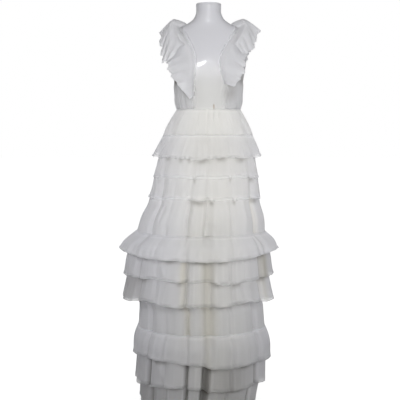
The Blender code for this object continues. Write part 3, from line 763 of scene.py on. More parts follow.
def make_panel(name, rows, side, seed):
    """One panel: share s runs from the neckline to the armhole, t up the table's rows. Gathers
    add the sum of size * cos(count a + wander) * exp(-above / reach) outwards, only as far as
    the cloth has room."""
    share = np.linspace(0.0, 1.0, 84)[None, :]
    at = np.linspace(len(rows) - 1.0, 0.0, 110)[:, None]
    neck_angle, neck_height, arm_angle, arm_height = curves(rows, PanelRow._fields, at, None)
    angle = neck_angle + (arm_angle - neck_angle) * share
    height = neck_height + (arm_height - neck_height) * share
    rng = np.random.default_rng(seed)
    above = height - WAIST
    wander = WANDER * np.sin(np.radians(angle * 5.0) + rng.uniform(0, 6)) + FAN * above * share
    phases = (wander, 1.7 * wander + rng.uniform(0, 6), DRAPE_LEAN * above + rng.uniform(0, 6))
    extra = sum(
        gather.size * (np.cos(np.radians(angle * gather.count) + phase) * np.exp(-above / gather.reach))
        for gather, phase in zip(GATHERS, phases)
    )
    points = bodice_point(angle, height, np.maximum(extra, LEAST_ROOM - bodice_room(height)))
    thin = 1.0 - ease(-0.10, 0.36, share) + 0 * above
    # Painted shade: deep darkens the front panels' colour under each arm's ruffle and beside the V,
    # where the ruffle's lower end hangs.
    rise, band = UNDERARM_BAND
    deep = UNDERARM_SHADE[side] * ease(0.45, 0.80, share) * hill(height - UNDERARM - rise, band)
    middle, band = NECK_BAND
    deep += NECK_SHADE[side] * hill(share - 0.18, 0.22) * hill(height - middle, band)
    deep = deep if rows is FRONT_PANEL else 0.0 * deep
    points = points * np.array([side, 1.0, 1.0])
    if side * (arm_angle[-1, 0] - neck_angle[-1, 0]) < 0:
        points, thin, deep = (grid[:, ::-1] for grid in (points, thin, deep))
    piece = make_piece(name + "_cloth", points, False, BODICE_CLOTH, CLOTH, thin, deep)
    place(piece, "white_organza", name)


for side_name, side_sign in (("left", 1), ("right", -1)):
    make_panel("bodice_front_" + side_name, FRONT_PANEL, side_sign, 3 + side_sign)
    make_panel("bodice_back_" + side_name, BACK_PANEL, side_sign, 11 + side_sign)
print("bodice panels made")

# %% [markdown]
# ## The neckline ruffles
#
# Each side has two gathered strips. The long one starts low beside the V, climbs over the
# shoulder and runs down the back. The short one lies on top and stands out like a cap sleeve.
# A strip is a path with a cross-section: stations along the neckline say where its gathering
# line lies and where its free edge falls, and across it the cloth arches up in a belly. Its
# free edge is longer than its gathering line, so it has to wave: those waves are the flutes.

# Each station gives its place on the neckline, how far the cloth runs on inside it (heading),
# where the free edge falls, how high the belly is and at what share of the fall it peaks, and
# the size of the flutes (petal). A ruffle's notch is the dip in its free edge between two
# flutes, lift holds it off the bodice, and melt is the share at its inner edge that thins out.

# %% Stations along the neckline
Station = namedtuple("Station", "angle height heading edge_x edge_y edge_z belly peak petal")
UNDER_LEFT = table(
    Station,
    (26.0, 1.278, 0.006, 0.096, -0.108, 1.264, 0.005, 0.45, 0.004),
    (23.0, 1.318, 0.022, 0.120, -0.104, 1.292, 0.006, 0.50, 0.007),
    (22.0, 1.355, 0.024, 0.138, -0.088, 1.322, 0.007, 0.50, 0.009),
    (24.0, 1.395, 0.019, 0.141, -0.072, 1.352, 0.009, 0.45, 0.009),
    (31.0, 1.437, 0.012, 0.146, -0.052, 1.385, 0.013, 0.38, 0.009),
    (45.0, 1.477, 0.008, 0.160, -0.024, 1.414, 0.020, 0.28, 0.009),
    (90.0, 1.503, 0.006, 0.176, 0.006, 1.430, 0.024, 0.20, 0.009),
    (134.0, 1.477, 0.008, 0.166, 0.038, 1.416, 0.022, 0.26, 0.010),
    (148.0, 1.435, 0.010, 0.156, 0.066, 1.384, 0.018, 0.30, 0.009),
    (158.0, 1.390, 0.010, 0.136, 0.094, 1.346, 0.010, 0.42, 0.008),
    (164.0, 1.348, 0.006, 0.098, 0.112, 1.318, 0.005, 0.45, 0.004),
    (165.0, 1.318, 0.002, 0.052, 0.108, 1.302, 0.002, 0.45, 0.001),
)
UNDER_RIGHT = table(
    Station,
    (27.0, 1.232, 0.004, 0.074, -0.118, 1.216, 0.006, 0.45, 0.004),
    (26.0, 1.275, 0.008, 0.108, -0.116, 1.256, 0.007, 0.50, 0.008),
    (23.0, 1.318, 0.014, 0.142, -0.092, 1.300, 0.008, 0.50, 0.010),
    (22.0, 1.358, 0.015, 0.158, -0.074, 1.334, 0.009, 0.46, 0.010),
    (24.0, 1.398, 0.014, 0.162, -0.058, 1.362, 0.011, 0.42, 0.009),
    (31.0, 1.438, 0.012, 0.164, -0.040, 1.388, 0.015, 0.36, 0.009),
    (45.0, 1.477, 0.008, 0.170, -0.018, 1.414, 0.020, 0.28, 0.009),
    (90.0, 1.503, 0.006, 0.176, 0.008, 1.430, 0.024, 0.20, 0.009),
    (134.0, 1.477, 0.008, 0.168, 0.040, 1.414, 0.022, 0.26, 0.010),
    (148.0, 1.435, 0.010, 0.156, 0.068, 1.380, 0.018, 0.30, 0.009),
    (158.0, 1.390, 0.010, 0.134, 0.096, 1.342, 0.010, 0.42, 0.008),
    (164.0, 1.348, 0.006, 0.096, 0.112, 1.314, 0.005, 0.45, 0.004),
    (165.0, 1.318, 0.002, 0.050, 0.108, 1.300, 0.002, 0.45, 0.001),
)
UPPER_LEFT = table(
    Station,
    (32.0, 1.430, 0.003, 0.126, -0.100, 1.388, 0.008, 0.45, 0.005),
    (39.0, 1.458, 0.005, 0.150, -0.078, 1.392, 0.014, 0.38, 0.010),
    (52.0, 1.484, 0.010, 0.175, -0.046, 1.416, 0.023, 0.30, 0.011),
    (70.0, 1.497, 0.014, 0.183, -0.018, 1.446, 0.029, 0.26, 0.010),
    (90.0, 1.503, 0.016, 0.206, 0.008, 1.490, 0.028, 0.26, 0.006),
    (113.0, 1.497, 0.014, 0.190, 0.036, 1.458, 0.028, 0.26, 0.010),
    (130.0, 1.484, 0.003, 0.182, 0.064, 1.430, 0.027, 0.26, 0.011),
    (142.0, 1.458, 0.003, 0.160, 0.092, 1.404, 0.022, 0.32, 0.010),
    (149.0, 1.430, 0.003, 0.128, 0.110, 1.388, 0.016, 0.36, 0.005),
)
UPPER_RIGHT = table(
    Station,
    (32.0, 1.425, 0.003, 0.124, -0.108, 1.392, 0.008, 0.45, 0.004),
    (36.0, 1.446, 0.004, 0.154, -0.098, 1.364, 0.012, 0.42, 0.006),
    (43.0, 1.468, 0.007, 0.178, -0.074, 1.358, 0.018, 0.36, 0.007),
    (54.0, 1.486, 0.011, 0.186, -0.046, 1.396, 0.024, 0.30, 0.008),
    (70.0, 1.497, 0.015, 0.191, -0.016, 1.444, 0.029, 0.27, 0.009),
    (90.0, 1.503, 0.018, 0.194, 0.014, 1.482, 0.028, 0.27, 0.006),
    (113.0, 1.497, 0.015, 0.190, 0.042, 1.450, 0.028, 0.27, 0.010),
    (130.0, 1.484, 0.003, 0.180, 0.070, 1.414, 0.027, 0.26, 0.011),
    (142.0, 1.458, 0.003, 0.158, 0.096, 1.388, 0.022, 0.32, 0.010),
    (149.0, 1.430, 0.003, 0.126, 0.112, 1.376, 0.016, 0.36, 0.005),
)
Ruffle = namedtuple("Ruffle", "name stations side notch lift melt seed")
RUFFLES = table(
    Ruffle,
    ("ruffle_under_left", UNDER_LEFT, 1, 0.10, 0.0010, 0.12, 21),
    ("ruffle_under_right", UNDER_RIGHT, -1, 0.09, 0.0014, 0.20, 22),
    ("ruffle_upper_left", UPPER_LEFT, 1, 0.13, 0.00725, 0.10, 23),
    ("ruffle_upper_right", UPPER_RIGHT, -1, 0.13, 0.0082, 0.14, 24),
)
print("stations:", [len(ruffle.stations) for ruffle in RUFFLES])

# %% The ruffles
RUFFLE_MIDDLE = np.array([0.07, 0.0, 1.40])  # the shoulder, inside the ruffles
EDGE_ROOM = 0.0012  # a ruffle's inner edge lies this far off the figure
EDGE_DIP = 0.30  # and it dips to it over this share of the strip
PETAL_SHARE = 0.42  # how far the flutes swing out, as a share of the table's petal
CREASE_SOFTNESS = 0.25  # above 0, the creases between the flutes are round at their bottom
SMALL_REACH = 0.015  # how much the small waves move the free edge


def rest_on_body(points, share, lift):
    """Points nearer the figure than the bodice and the lift are moved out along its normal by
    what they lack, and the inner edge is drawn in to the figure."""
    height = points[..., 2]
    width, front, back = figure_size(height)
    depth = np.where(points[..., 1] < 0, front, back)
    angle = np.degrees(np.arctan2(points[..., 0] / width, -points[..., 1] / depth))
    away = figure_normal(angle, height)
    gap = np.sum((points - figure_point(angle, height)) * away, axis=-1)
    clear = np.maximum(gap, bodice_room(height) + 2 * WALL + lift)
    level = EDGE_ROOM + 0.5 * lift
    gap_wanted = level + (clear - level) * ease(0.0, EDGE_DIP, share)
    return points + away * (gap_wanted - gap)[..., None]


def make_ruffle(ruffle):
    """P(along, share) = inner edge + fall * share + square * (arch + petals), where square is the
    strip's own way out. The arch is sin(pi share^p), highest at the station's peak. Petals are
    |cos| waves, one to a station: broad crests, narrow creases, and a notch in the free edge.
    Where the strip meets the body it rests on it."""
    along = np.linspace(0.0, len(ruffle.stations) - 1.0, 320)
    angle, height, heading, edge_x, edge_y, edge_z, belly, peak, petal = curves(
        ruffle.stations, Station._fields, along, None,
    )
    edge = np.stack([edge_x, edge_y, edge_z], axis=-1)
    line = bodice_point(angle, height, WALL + ruffle.lift)
    inner = line - unit(edge - line) * heading[:, None]
    fall = edge - inner
    square = unit(np.cross(fall, np.gradient((line + edge) / 2, axis=0)))
    square *= np.sign(np.sum(square * (line - RUFFLE_MIDDLE), axis=-1))[:, None]

    rng = np.random.default_rng(ruffle.seed)
    drift = 0.10 * np.sin(1.7 * along + rng.uniform(0, 6))
    drift = drift + 0.06 * np.sin(3.1 * along + rng.uniform(0, 6))
    crest = np.sqrt(np.cos(math.pi * (along + drift)) ** 2 + CREASE_SOFTNESS)
    small = np.cos(math.tau * (2.3 * along + drift) + rng.uniform(0, 6))

    share = np.linspace(0.0, 1.0, 34)[:, None]
    power = np.log(0.5) / np.log(peak)
    arch = belly * np.sin(math.pi * share ** power)
    swing = 2.0 * crest - 1.2 + 0.15 * small * share
    wave = PETAL_SHARE * petal * ease(0.05, 1.1, share) * swing
    notch = ruffle.notch * (1.0 - crest) * ease(0.3, 1.0, share)
    reach = 1.0 - notch + SMALL_REACH * small * share ** 3
    points = inner + fall * (share * reach)[..., None] + square * (arch + wave)[..., None]
    points = rest_on_body(points, share, ruffle.lift) * np.array([ruffle.side, 1.0, 1.0])
    thin = 1.0 - ease(0.0, ruffle.melt, share) + 0 * along
    if ruffle.side < 0:
        points, thin = points[:, ::-1], thin[:, ::-1]
    piece = make_piece(ruffle.name + "_cloth", points, False, RUFFLE_CLOTH, CLOTH, thin)
    place(piece, "white_organza", ruffle.name)


for ruffle in RUFFLES:
    make_ruffle(ruffle)
print("ruffles made:", len(RUFFLES))

# %% [markdown]
# ## The skirt
#
# All tiers share one way of saying where they hang: at each height the skirt is an oval round a
# middle point, and a tier says how far out of it the cloth lies, w(angle, height). Deep folds
# turn every tier in at the same angles, because the tiers hang from one another. A tier's own
# share of them grows downwards. Working in one w for all has a second use: a tier that lies
# over another takes the larger of the two plus a gap, so no layer can cut through the next.

# %% Folds that every tier shares
Fold = namedtuple("Fold", "angle width depth")
FOLDS = table(
    Fold,
    (-152.0, 10.0, 0.034), (-116.0, 9.0, 0.030), (-83.0, 8.0, 0.020), (-52.0, 8.0, 0.030),
    (-33.0, 6.0, 0.010), (-12.5, 4.6, 0.036), (6.5, 11.0, 0.040), (27.0, 6.0, 0.012),
    (56.0, 8.0, 0.034), (90.0, 8.0, 0.020), (127.0, 9.0, 0.032), (166.0, 9.0, 0.026),
)
WIDE_FOLD = 10.5  # folds at least this wide have a flat floor with two corners
FLOOR_SHARE = 0.4  # and this share of their half width is floor
LIP_INSET = 0.10  # a fold's lips turn in by this share of its depth
CREST_RISE = 0.00022  # the cloth between folds bulges by this for each degree of its width
SKIRT_COLUMNS = 540
SKIRT_ANGLES = all_round(SKIRT_COLUMNS)
SKIRT_TURN = np.radians(SKIRT_ANGLES)
CRISP = 0.55  # degrees over which a fold's corners are rounded low on the skirt
SOFT = 3.2  # and high on it, where the folds only begin
SOFT_HEIGHT = 0.95
CRISP_HEIGHT = 0.66


def fold_depths(softness):
    """How far each angle is turned in: straight walls between the corners of the folds, then a
    bell-shaped average round the circle, which rounds the corners."""
    corners = []
    for i, fold in enumerate(FOLDS):
        lip = fold.width / 2
        floor = FLOOR_SHARE * lip if fold.width >= WIDE_FOLD else 0.0
        start = fold.angle + lip
        following = FOLDS[(i + 1) % len(FOLDS)]
        end = following.angle - following.width / 2 + (360.0 if i == len(FOLDS) - 1 else 0.0)
        corners.append((fold.angle - lip, LIP_INSET * fold.depth))
        corners.append((fold.angle - floor, fold.depth))
        if floor:
            corners.append((fold.angle + floor, fold.depth))
        corners.append((start, LIP_INSET * fold.depth))
        corners.append(((start + end) / 2, -CREST_RISE * (end - start)))
    angle, inset = np.array(corners).T
    inset = np.interp(SKIRT_ANGLES, angle, inset, period=360.0)
    bell = hill(turn_between(SKIRT_ANGLES, CENTRE_BACK), softness * math.sqrt(2.0))
    return np.fft.irfft(np.fft.rfft(inset) * np.fft.rfft(bell / bell.sum()), SKIRT_COLUMNS)


CRISP_FOLDS = fold_depths(CRISP)
SOFT_FOLDS = fold_depths(SOFT)
DEEPEST = CRISP_FOLDS.max()

Drift = namedtuple("Drift", "height narrow wide")  # degrees that the two front folds wander
DRIFTS = table(
    Drift,
    (0.00, 0.0, -4.0), (0.18, 0.0, -3.6), (0.27, 0.5, -0.5), (0.38, -0.4, 0.0),
    (0.44, 3.0, 1.5), (0.58, 4.4, 2.0), (0.65, 2.0, 0.0), (0.76, -1.7, -3.0),
    (0.86, -3.0, -3.0),
)
NARROW_AT = -12.5
WIDE_AT = 6.5
DRIFT_REACH = 10.0
DRIFT_EDGE = 6.0  # between the two folds, each one's drift fades out over this many degrees
WIDE_FROM = 4.0  # the wide fold's drift is whole from this angle on


def folds_at(height):
    """The folds at a height: the soft ones above SOFT_HEIGHT, crisp ones from CRISP_HEIGHT down.
    The two in the middle of the front wander as they fall: each angle is read a little aside."""
    narrow, wide = curves(DRIFTS, ("narrow", "wide"), height, between=straight_between)
    aside = narrow * hill(SKIRT_ANGLES - NARROW_AT - narrow, DRIFT_REACH)
    aside = aside * ease(0.0, DRIFT_EDGE, WIDE_AT - DRIFT_EDGE - SKIRT_ANGLES)
    other = wide * hill(SKIRT_ANGLES - WIDE_AT - wide, DRIFT_REACH)
    other = other * ease(-DRIFT_EDGE, 0.0, SKIRT_ANGLES - WIDE_FROM)
    at = SKIRT_ANGLES - aside - other
    crisp, soft = (
        np.interp(at, SKIRT_ANGLES, folds, period=360.0) for folds in (CRISP_FOLDS, SOFT_FOLDS)
    )
    return crisp + (soft - crisp) * ease(CRISP_HEIGHT, SOFT_HEIGHT, height)


print("folds:", len(FOLDS), "deepest", round(1000 * DEEPEST), "mm")

# %% Where the skirt's middle hangs
Hang = namedtuple("Hang", "height middle_x middle_y depth_share")
SKIRT_HANG = table(
    Hang,
    (0.000, -0.046, 0.016, 0.92), (0.120, -0.033, 0.016, 0.92), (0.250, -0.027, 0.015, 0.91),
    (0.400, -0.029, 0.014, 0.90), (0.440, -0.042, 0.014, 0.90), (0.570, -0.042, 0.013, 0.89),
    (0.650, -0.037, 0.012, 0.89), (0.700, -0.030, 0.010, 0.88), (0.800, -0.018, 0.008, 0.86),
    (0.860, -0.012, 0.007, 0.85), (0.980, -0.007, 0.005, 0.82), (1.080, -0.002, 0.002, 0.79),
    (WAIST, 0.000, 0.000, 0.75),
)


def skirt_point(spread, height):
    """x = middle x + w sin a, y = middle y - w * depth share * cos a, for each column's angle."""
    middle_x, middle_y, depth_share = curves(
        SKIRT_HANG, ("middle_x", "middle_y", "depth_share"), height, between=straight_between,
    )
    x = middle_x + spread * np.sin(SKIRT_TURN)
    y = middle_y - spread * depth_share * np.cos(SKIRT_TURN)
    return np.stack([x, y, height + 0 * spread], axis=-1)


print("skirt leans", round(SKIRT_HANG[0].middle_x, 3), "m at the floor")

# %% [markdown]
# ### What each tier is
#
# A tier is sewn to a row of an earlier one, on its outer or inner face, and runs down through
# its own rows to the hem. over names the layers that it lies over and keeps clear of.
# half_width is how far out it hangs, fold_share how much of each deep fold it takes, side_rise lifts
# the hem at the hips, and tilt lifts it towards the left. gathers counts its waves all round, and depth
# says how deep they are at the hem. Fine layers also get painted shade from what hangs over them: each
# cloth is painted darker deep in a fold and just under the hem above, and warmer where a gap between
# the folds shows the slip.

# %% The tiers
Row = namedtuple("Row", "height half_width fold_share side_rise tilt", defaults=(0.0, 0.0))
Tier = namedtuple("Tier", "name sewn_to face seam over gathers depth seed rows")
SEAM_ALLOWANCE = 0.004  # the yoke runs on this far behind the first flounce
TIERS = table(
    Tier,
    ("tier_hem_lower", "panel_calf", -1, HEM_SEAM, (), 44, 0.0022, 41, table(Row, (HEM, 0.2360, 1.00))),
    ("panel_calf", "panel_thigh", -1, CALF_SEAM, (), 40, 0.0016, 42, table(
        Row, (0.400, 0.2510, 0.66), (LOW_SEAM, 0.2560, 0.72), (HEM_SEAM, 0.2580, 1.00),
    )),
    ("tier_hem_upper", "panel_calf", 1, HEM_SEAM, ("tier_hem_lower",), 52, 0.0030, 43, table(
        Row, (0.112, 0.2660, 0.95, -0.016),
    )),
    ("flounce_calf", "panel_calf", 1, LOW_SEAM, ("panel_calf", "tier_hem_upper"), 60, 0.0036, 44, table(
        Row, (0.268, 0.2760, 0.56), (0.210, 0.2790, 0.46, -0.010, -0.010),
    )),
    ("tier_knee_lower", "panel_thigh", 1, CALF_SEAM, ("panel_calf",), 46, 0.0030, 45, table(
        Row, (0.436, 0.3075, 0.70, -0.004),
    )),
    ("panel_thigh", "tier_thigh", -1, PANEL_SEAM, (), 40, 0.0018, 46, table(
        Row, (0.818, 0.2225, 0.62), (0.755, 0.2470, 0.62), (KNEE_SEAM, 0.2570, 0.68),
        (CALF_SEAM, 0.2590, 0.68),
    )),
    ("tier_knee_upper", "panel_thigh", 1, KNEE_SEAM, ("panel_thigh", "tier_knee_lower"), 54, 0.0034, 47,
     table(Row, (0.600, 0.2900, 0.64), (0.526, 0.3010, 0.68))),
    ("flounce_knee", "tier_knee_upper", 1, KNEE_SEAM, ("tier_knee_upper",), 72, 0.0048, 48, table(
        Row, (0.668, 0.2940, 0.38), (0.607, 0.3190, 0.26, 0.024),
    )),
    ("tier_thigh", "tier_hip", -1, THIGH_SEAM, ("panel_thigh",), 50, 0.0020, 49, table(
        Row, (PANEL_SEAM, 0.2195, 0.52), (0.829, 0.2250, 0.55),
    )),
    ("tier_hip", "skirt_yoke", -1, HIP_SEAM, ("tier_thigh",), 56, 0.0022, 50, table(
        Row, (THIGH_SEAM, 0.2050, 0.32), (0.912, 0.2115, 0.34),
    )),
    ("flounce_hip", "skirt_yoke", 1, HIP_SEAM, ("tier_hip",), 64, 0.0036, 51, table(
        Row, (1.036, 0.2000, 0.18), (0.984, 0.2170, 0.16, 0.013),
    )),
    ("skirt_yoke", "", 0, WAIST, (), 58, 0.0020, 52, table(
        Row, (WAIST, 0.1272, 0.00), (1.138, 0.1530, 0.12), (HIP_SEAM, 0.1780, 0.20),
        (HIP_SEAM - SEAM_ALLOWANCE, 0.1786, 0.20),
    )),
)
BY_NAME = {tier.name: tier for tier in TIERS}
print("tiers:", list(BY_NAME))

# %% How far out each tier's cloth lies
SEWN_GAP = 0.0007  # a tier's gathering line lies this far off the piece it is sewn to
LAYER_GAP = 0.0010  # and its cloth hangs at least this far off the layer beneath
OVERHANG = 0.004  # a layer still holds off the next one this far below its own hem
HELD_FLAT = 0.6  # gathers are flatter in the folds, by this share where the folds are deepest
FRILL_START = 0.15  # a frill's gathers have this share of their depth at its seam
YOKE_START = 0.30  # and the yoke's this share
HANDED_ON = 0.45  # the parent's gathers die out over this share of a frill's fall
Wave = namedtuple("Wave", "times at_seam at_hem")
WAVES = table(Wave, (1.7, 0.10, 0.02), (1.0, 0.12, 0.10), (0.55, 0.10, 0.36), (0.24, 0.05, 0.60))


def all_rows(tier):
    """A tier's rows with its sewn edge first, which lies on the outer or inner face there."""
    if not tier.sewn_to:
        return tier.rows
    parent = all_rows(BY_NAME[tier.sewn_to])
    width, share = (float(v) for v in curves(parent, ("half_width", "fold_share"), tier.seam))
    return [Row(tier.seam, width + tier.face * SEWN_GAP, share), *tier.rows]


def share_of(tier, height):
    """How far down a tier a height is: 0 at its seam and 1 at its hem."""
    return (tier.seam - height) / (tier.seam - tier.rows[-1].height)


def ripples(count, share, seed):
    """Gathers: a sum of waves cos(n a + wander) of a few counts n. The fine ones are strong at
    the seam and the broad ones at the hem, so many small gathers join into fewer deep ones."""
    rng = np.random.default_rng(seed)
    total = 0.0
    for row in WAVES:
        wander = sum(
            rng.uniform(0.4, 1.1) * np.sin(k * SKIRT_TURN + rng.uniform(0, 6.3)) for k in (3, 5, 8)
        )
        strength = 0.75 + 0.45 * np.sin(rng.integers(2, 7) * SKIRT_TURN + rng.uniform(0, 6.3))
        turns = round(count * row.times) * SKIRT_TURN
        wave = np.cos(turns + wander + 0.5 * share * np.sin(7 * SKIRT_TURN))
        total = total + (row.at_seam + (row.at_hem - row.at_seam) * share) * strength * wave
    return total


def gathers_of(tier, height, share):
    """depth * growth * tightness * ripples: gathers grow downwards, and lie flatter in folds."""
    start = FRILL_START if tier.sewn_to else YOKE_START
    tight = 1.0 - HELD_FLAT * folds_at(height) / DEEPEST
    growth = start + (1.0 - start) * share
    return tier.depth * growth * tight * ripples(tier.gathers, share, tier.seed)


def spread_of(tier, height):
    """w = half width - fold share * fold depth + gathers, and never less than the layers beneath
    plus a gap. The gathers grow from the seam, where they start as those of the parent."""
    share = np.clip(share_of(tier, height), 0.0, 1.0)
    width, fold_share = curves(all_rows(tier), ("half_width", "fold_share"), height)
    waves = gathers_of(tier, height, share)
    if tier.sewn_to:
        parent = BY_NAME[tier.sewn_to]
        handed_on = gathers_of(parent, tier.seam, share_of(parent, tier.seam))
        waves = waves + handed_on * (1.0 - ease(0.0, HANDED_ON, share))
    spread = width - fold_share * folds_at(height) + waves + creases_of(tier, share)
    for under in (BY_NAME[name] for name in tier.over):
        gap = SEWN_GAP + (LAYER_GAP - SEWN_GAP) * ease(0.0, 0.1, share)
        beneath = spread_of(under, height) + gap
        there = (height <= under.seam + 1e-6) & (height >= under.rows[-1].height - OVERHANG)
        spread = np.where(there, np.maximum(spread, beneath), spread)
    return spread


print("a frill hangs at least", 1000 * LAYER_GAP, "mm off the layer beneath it")

# %% Creases, given one by one
Crease = namedtuple("Crease", "angle lean width depth top bottom")  # top and bottom: share of the fall
CREASES = {
    "skirt_yoke": table(
        Crease,
        (-13.8, -2.0, 1.5, 0.0016, 0.15, 0.90), (-2.2, 0.0, 1.3, 0.0018, 0.10, 1.00),
        (6.0, 1.0, 1.2, 0.0014, 0.00, 0.55), (14.0, 1.0, 1.4, 0.0016, 0.05, 0.80),
        (33.0, 2.0, 1.6, -0.0014, 0.30, 1.00), (-42.0, -3.0, 3.5, 0.0020, 0.20, 1.00),
        (58.0, 3.0, 3.0, -0.0016, 0.10, 0.90), (118.0, 2.0, 2.0, 0.0018, 0.05, 0.80),
        (158.0, 0.0, 1.4, 0.0016, 0.10, 1.00), (-171.0, -1.0, 1.5, -0.0015, 0.20, 0.90),
        (-128.0, -2.0, 2.4, 0.0018, 0.00, 0.70),
    ),
    "flounce_hip": table(
        Crease,
        (-26.6, -1.0, 1.6, 0.0026, 0.20, 0.90), (-5.0, 0.0, 2.4, 0.0020, 0.30, 1.00),
        (24.0, 1.5, 3.0, -0.0024, 0.10, 0.80), (40.0, 2.0, 2.2, 0.0028, 0.30, 1.00),
        (-58.0, -3.0, 3.0, -0.0026, 0.30, 1.00), (96.0, 3.0, 2.6, 0.0028, 0.20, 1.00),
        (150.0, -1.0, 2.0, 0.0024, 0.30, 0.90), (-146.0, -2.0, 2.8, -0.0026, 0.20, 1.00),
    ),
    "tier_hip": table(
        Crease,
        (-12.3, 0.5, 1.6, 0.0016, 0.60, 1.00), (26.0, 0.0, 1.6, -0.0018, 0.40, 1.00),
    ),
    "tier_thigh": table(
        Crease,
        (-18.5, 0.0, 1.2, -0.0022, 0.30, 1.00), (11.7, 0.0, 2.0, 0.0018, 0.10, 0.60),
        (30.9, 0.0, 2.8, 0.0022, 0.10, 0.90), (-150.0, 0.0, 2.0, 0.0020, 0.20, 1.00),
    ),
    "panel_thigh": table(
        Crease,
        (3.5, 0.0, 0.7, -0.0070, 0.17, 0.42), (-14.2, 0.0, 0.7, -0.0036, 0.17, 0.45),
        (26.8, 0.0, 1.1, -0.0042, 0.17, 0.45), (-31.7, -2.0, 1.8, 0.0034, 0.15, 0.50),
        (-40.7, -3.0, 1.5, -0.0040, 0.20, 0.50), (41.3, 2.0, 2.2, 0.0030, 0.15, 0.45),
        (9.0, 1.0, 3.6, 0.0100, 0.19, 0.48), (3.0, 0.0, 3.0, 0.0070, 0.19, 0.48),
        (-9.5, 0.0, 2.4, 0.0060, 0.19, 0.48), (104.0, 2.0, 2.2, 0.0034, 0.15, 0.50),
        (147.0, 0.0, 1.2, -0.0055, 0.12, 0.45), (179.0, 0.0, 1.1, -0.0045, 0.12, 0.45),
        (-134.0, -2.0, 1.8, 0.0036, 0.15, 0.50),
    ),
    "flounce_knee": table(
        Crease,
        (-34.1, -1.0, 1.0, 0.0040, 0.35, 1.00), (-24.5, 0.0, 1.6, 0.0030, 0.00, 0.40),
        (-8.5, 0.0, 0.9, -0.0036, 0.10, 1.00), (-2.0, 0.0, 0.8, -0.0026, 0.20, 1.00),
        (4.5, 0.0, 4.5, 0.0060, 0.00, 1.00), (-12.0, 0.0, 2.2, 0.0050, 0.00, 1.00),
        (25.0, 0.5, 1.2, -0.0034, 0.00, 0.75), (48.6, 1.0, 1.5, -0.0060, 0.10, 1.00),
        (-55.0, -2.0, 2.2, -0.0045, 0.20, 1.00), (92.0, 2.0, 2.0, 0.0045, 0.20, 1.00),
        (139.0, 0.0, 1.2, -0.0040, 0.10, 1.00), (171.0, 0.0, 1.4, 0.0040, 0.30, 1.00),
        (-128.0, -2.0, 2.0, -0.0050, 0.20, 1.00),
    ),
    "tier_knee_upper": table(
        Crease,
        (-32.0, 7.0, 1.6, 0.0040, 0.20, 0.85), (22.3, 0.0, 2.2, 0.0045, 0.30, 1.00),
        (36.8, 1.0, 1.6, -0.0036, 0.30, 1.00),
    ),
    "tier_knee_lower": table(
        Crease,
        (7.6, 0.0, 3.0, 0.0120, 0.00, 1.00), (-23.8, -2.0, 2.0, 0.0032, 0.60, 1.00),
        (31.4, 2.0, 1.8, 0.0036, 0.60, 1.00),
    ),
    "panel_calf": table(
        Crease,
        (6.6, 0.0, 3.6, 0.0260, 0.00, 0.52), (-12.4, 0.0, 1.9, 0.0210, 0.00, 0.52),
        (27.2, 0.0, 1.6, -0.0028, 0.20, 0.60), (-33.3, 2.0, 2.4, 0.0026, 0.20, 0.70),
    ),
    "flounce_calf": table(
        Crease,
        (-30.7, -1.0, 1.6, 0.0030, 0.20, 1.00), (7.0, -1.0, 3.0, 0.0100, 0.00, 1.00),
        (-12.6, 0.0, 1.8, 0.0080, 0.00, 1.00), (22.9, 1.0, 2.2, 0.0034, 0.30, 1.00),
        (42.5, 1.0, 1.6, -0.0036, 0.30, 1.00),
    ),
    "tier_hem_upper": table(
        Crease,
        (-48.9, 20.0, 3.0, 0.0065, 0.15, 1.00), (6.6, 0.0, 2.0, 0.0220, 0.00, 1.00),
        (35.3, 1.0, 1.8, -0.0036, 0.30, 1.00),
    ),
    "tier_hem_lower": table(
        Crease,
        (6.6, 0.0, 2.2, 0.0260, 0.00, 1.00), (-38.0, 9.0, 3.0, 0.0055, 0.55, 1.00),
    ),
}
CREASE_FADE = 0.12  # a crease comes and goes over this share of the tier's fall


def creases_of(tier, share):
    """Sum of depth * hill(angle - place, width), each fading in at its top and out at its bottom.
    A crease leans by some degrees on its way down."""
    total = 0.0 * share + 0.0 * SKIRT_ANGLES
    for crease in CREASES[tier.name]:
        aside = turn_between(SKIRT_ANGLES, crease.angle + crease.lean * share)
        fade = ease(crease.top - CREASE_FADE, crease.top + CREASE_FADE, share)
        fade = fade * (1.0 - ease(crease.bottom, crease.bottom + CREASE_FADE, share))
        total = total + crease.depth * hill(aside, crease.width) * fade
    return total


print("creases placed by hand:", sum(len(rows) for rows in CREASES.values()))

# %% Where hems stand clear, and where shade and ivory lie
Spot = namedtuple("Spot", "angle width amount", defaults=(1.0,))  # a hill of that height
# Where a hem stands clear of the cloth beneath.
HEMS_CLEAR = {
    "flounce_hip": table(
        Spot,
        (-52.0, 5.0), (-31.0, 2.6), (-20.5, 2.0), (-4.0, 8.0), (16.0, 5.0),
        (42.0, 8.0),
    ),
    "tier_hip": table(Spot, (-12.5, 1.6), (26.0, 1.4), (58.0, 5.0)),
    "tier_thigh": table(Spot, (-7.5, 8.0), (7.0, 2.0), (30.5, 1.6), (61.0, 5.0)),
    "flounce_knee": table(Spot, (-52.0, 16.0), (-22.0, 5.0), (0.0, 7.0), (17.0, 4.0), (55.0, 16.0)),
    "tier_knee_upper": table(Spot, (-48.0, 7.0), (-14.0, 2.5), (14.0, 3.0), (30.0, 4.0), (60.0, 6.0)),
    "tier_knee_lower": table(Spot, (-30.0, 4.0), (-16.0, 4.0), (18.0, 6.0), (40.0, 6.0)),
    "flounce_calf": table(Spot, (-40.0, 10.0), (-13.0, 4.0), (8.0, 5.0), (40.0, 8.0)),
    "tier_hem_upper": table(Spot, (-24.0, 5.0), (5.0, 6.0), (34.0, 8.0)),
}
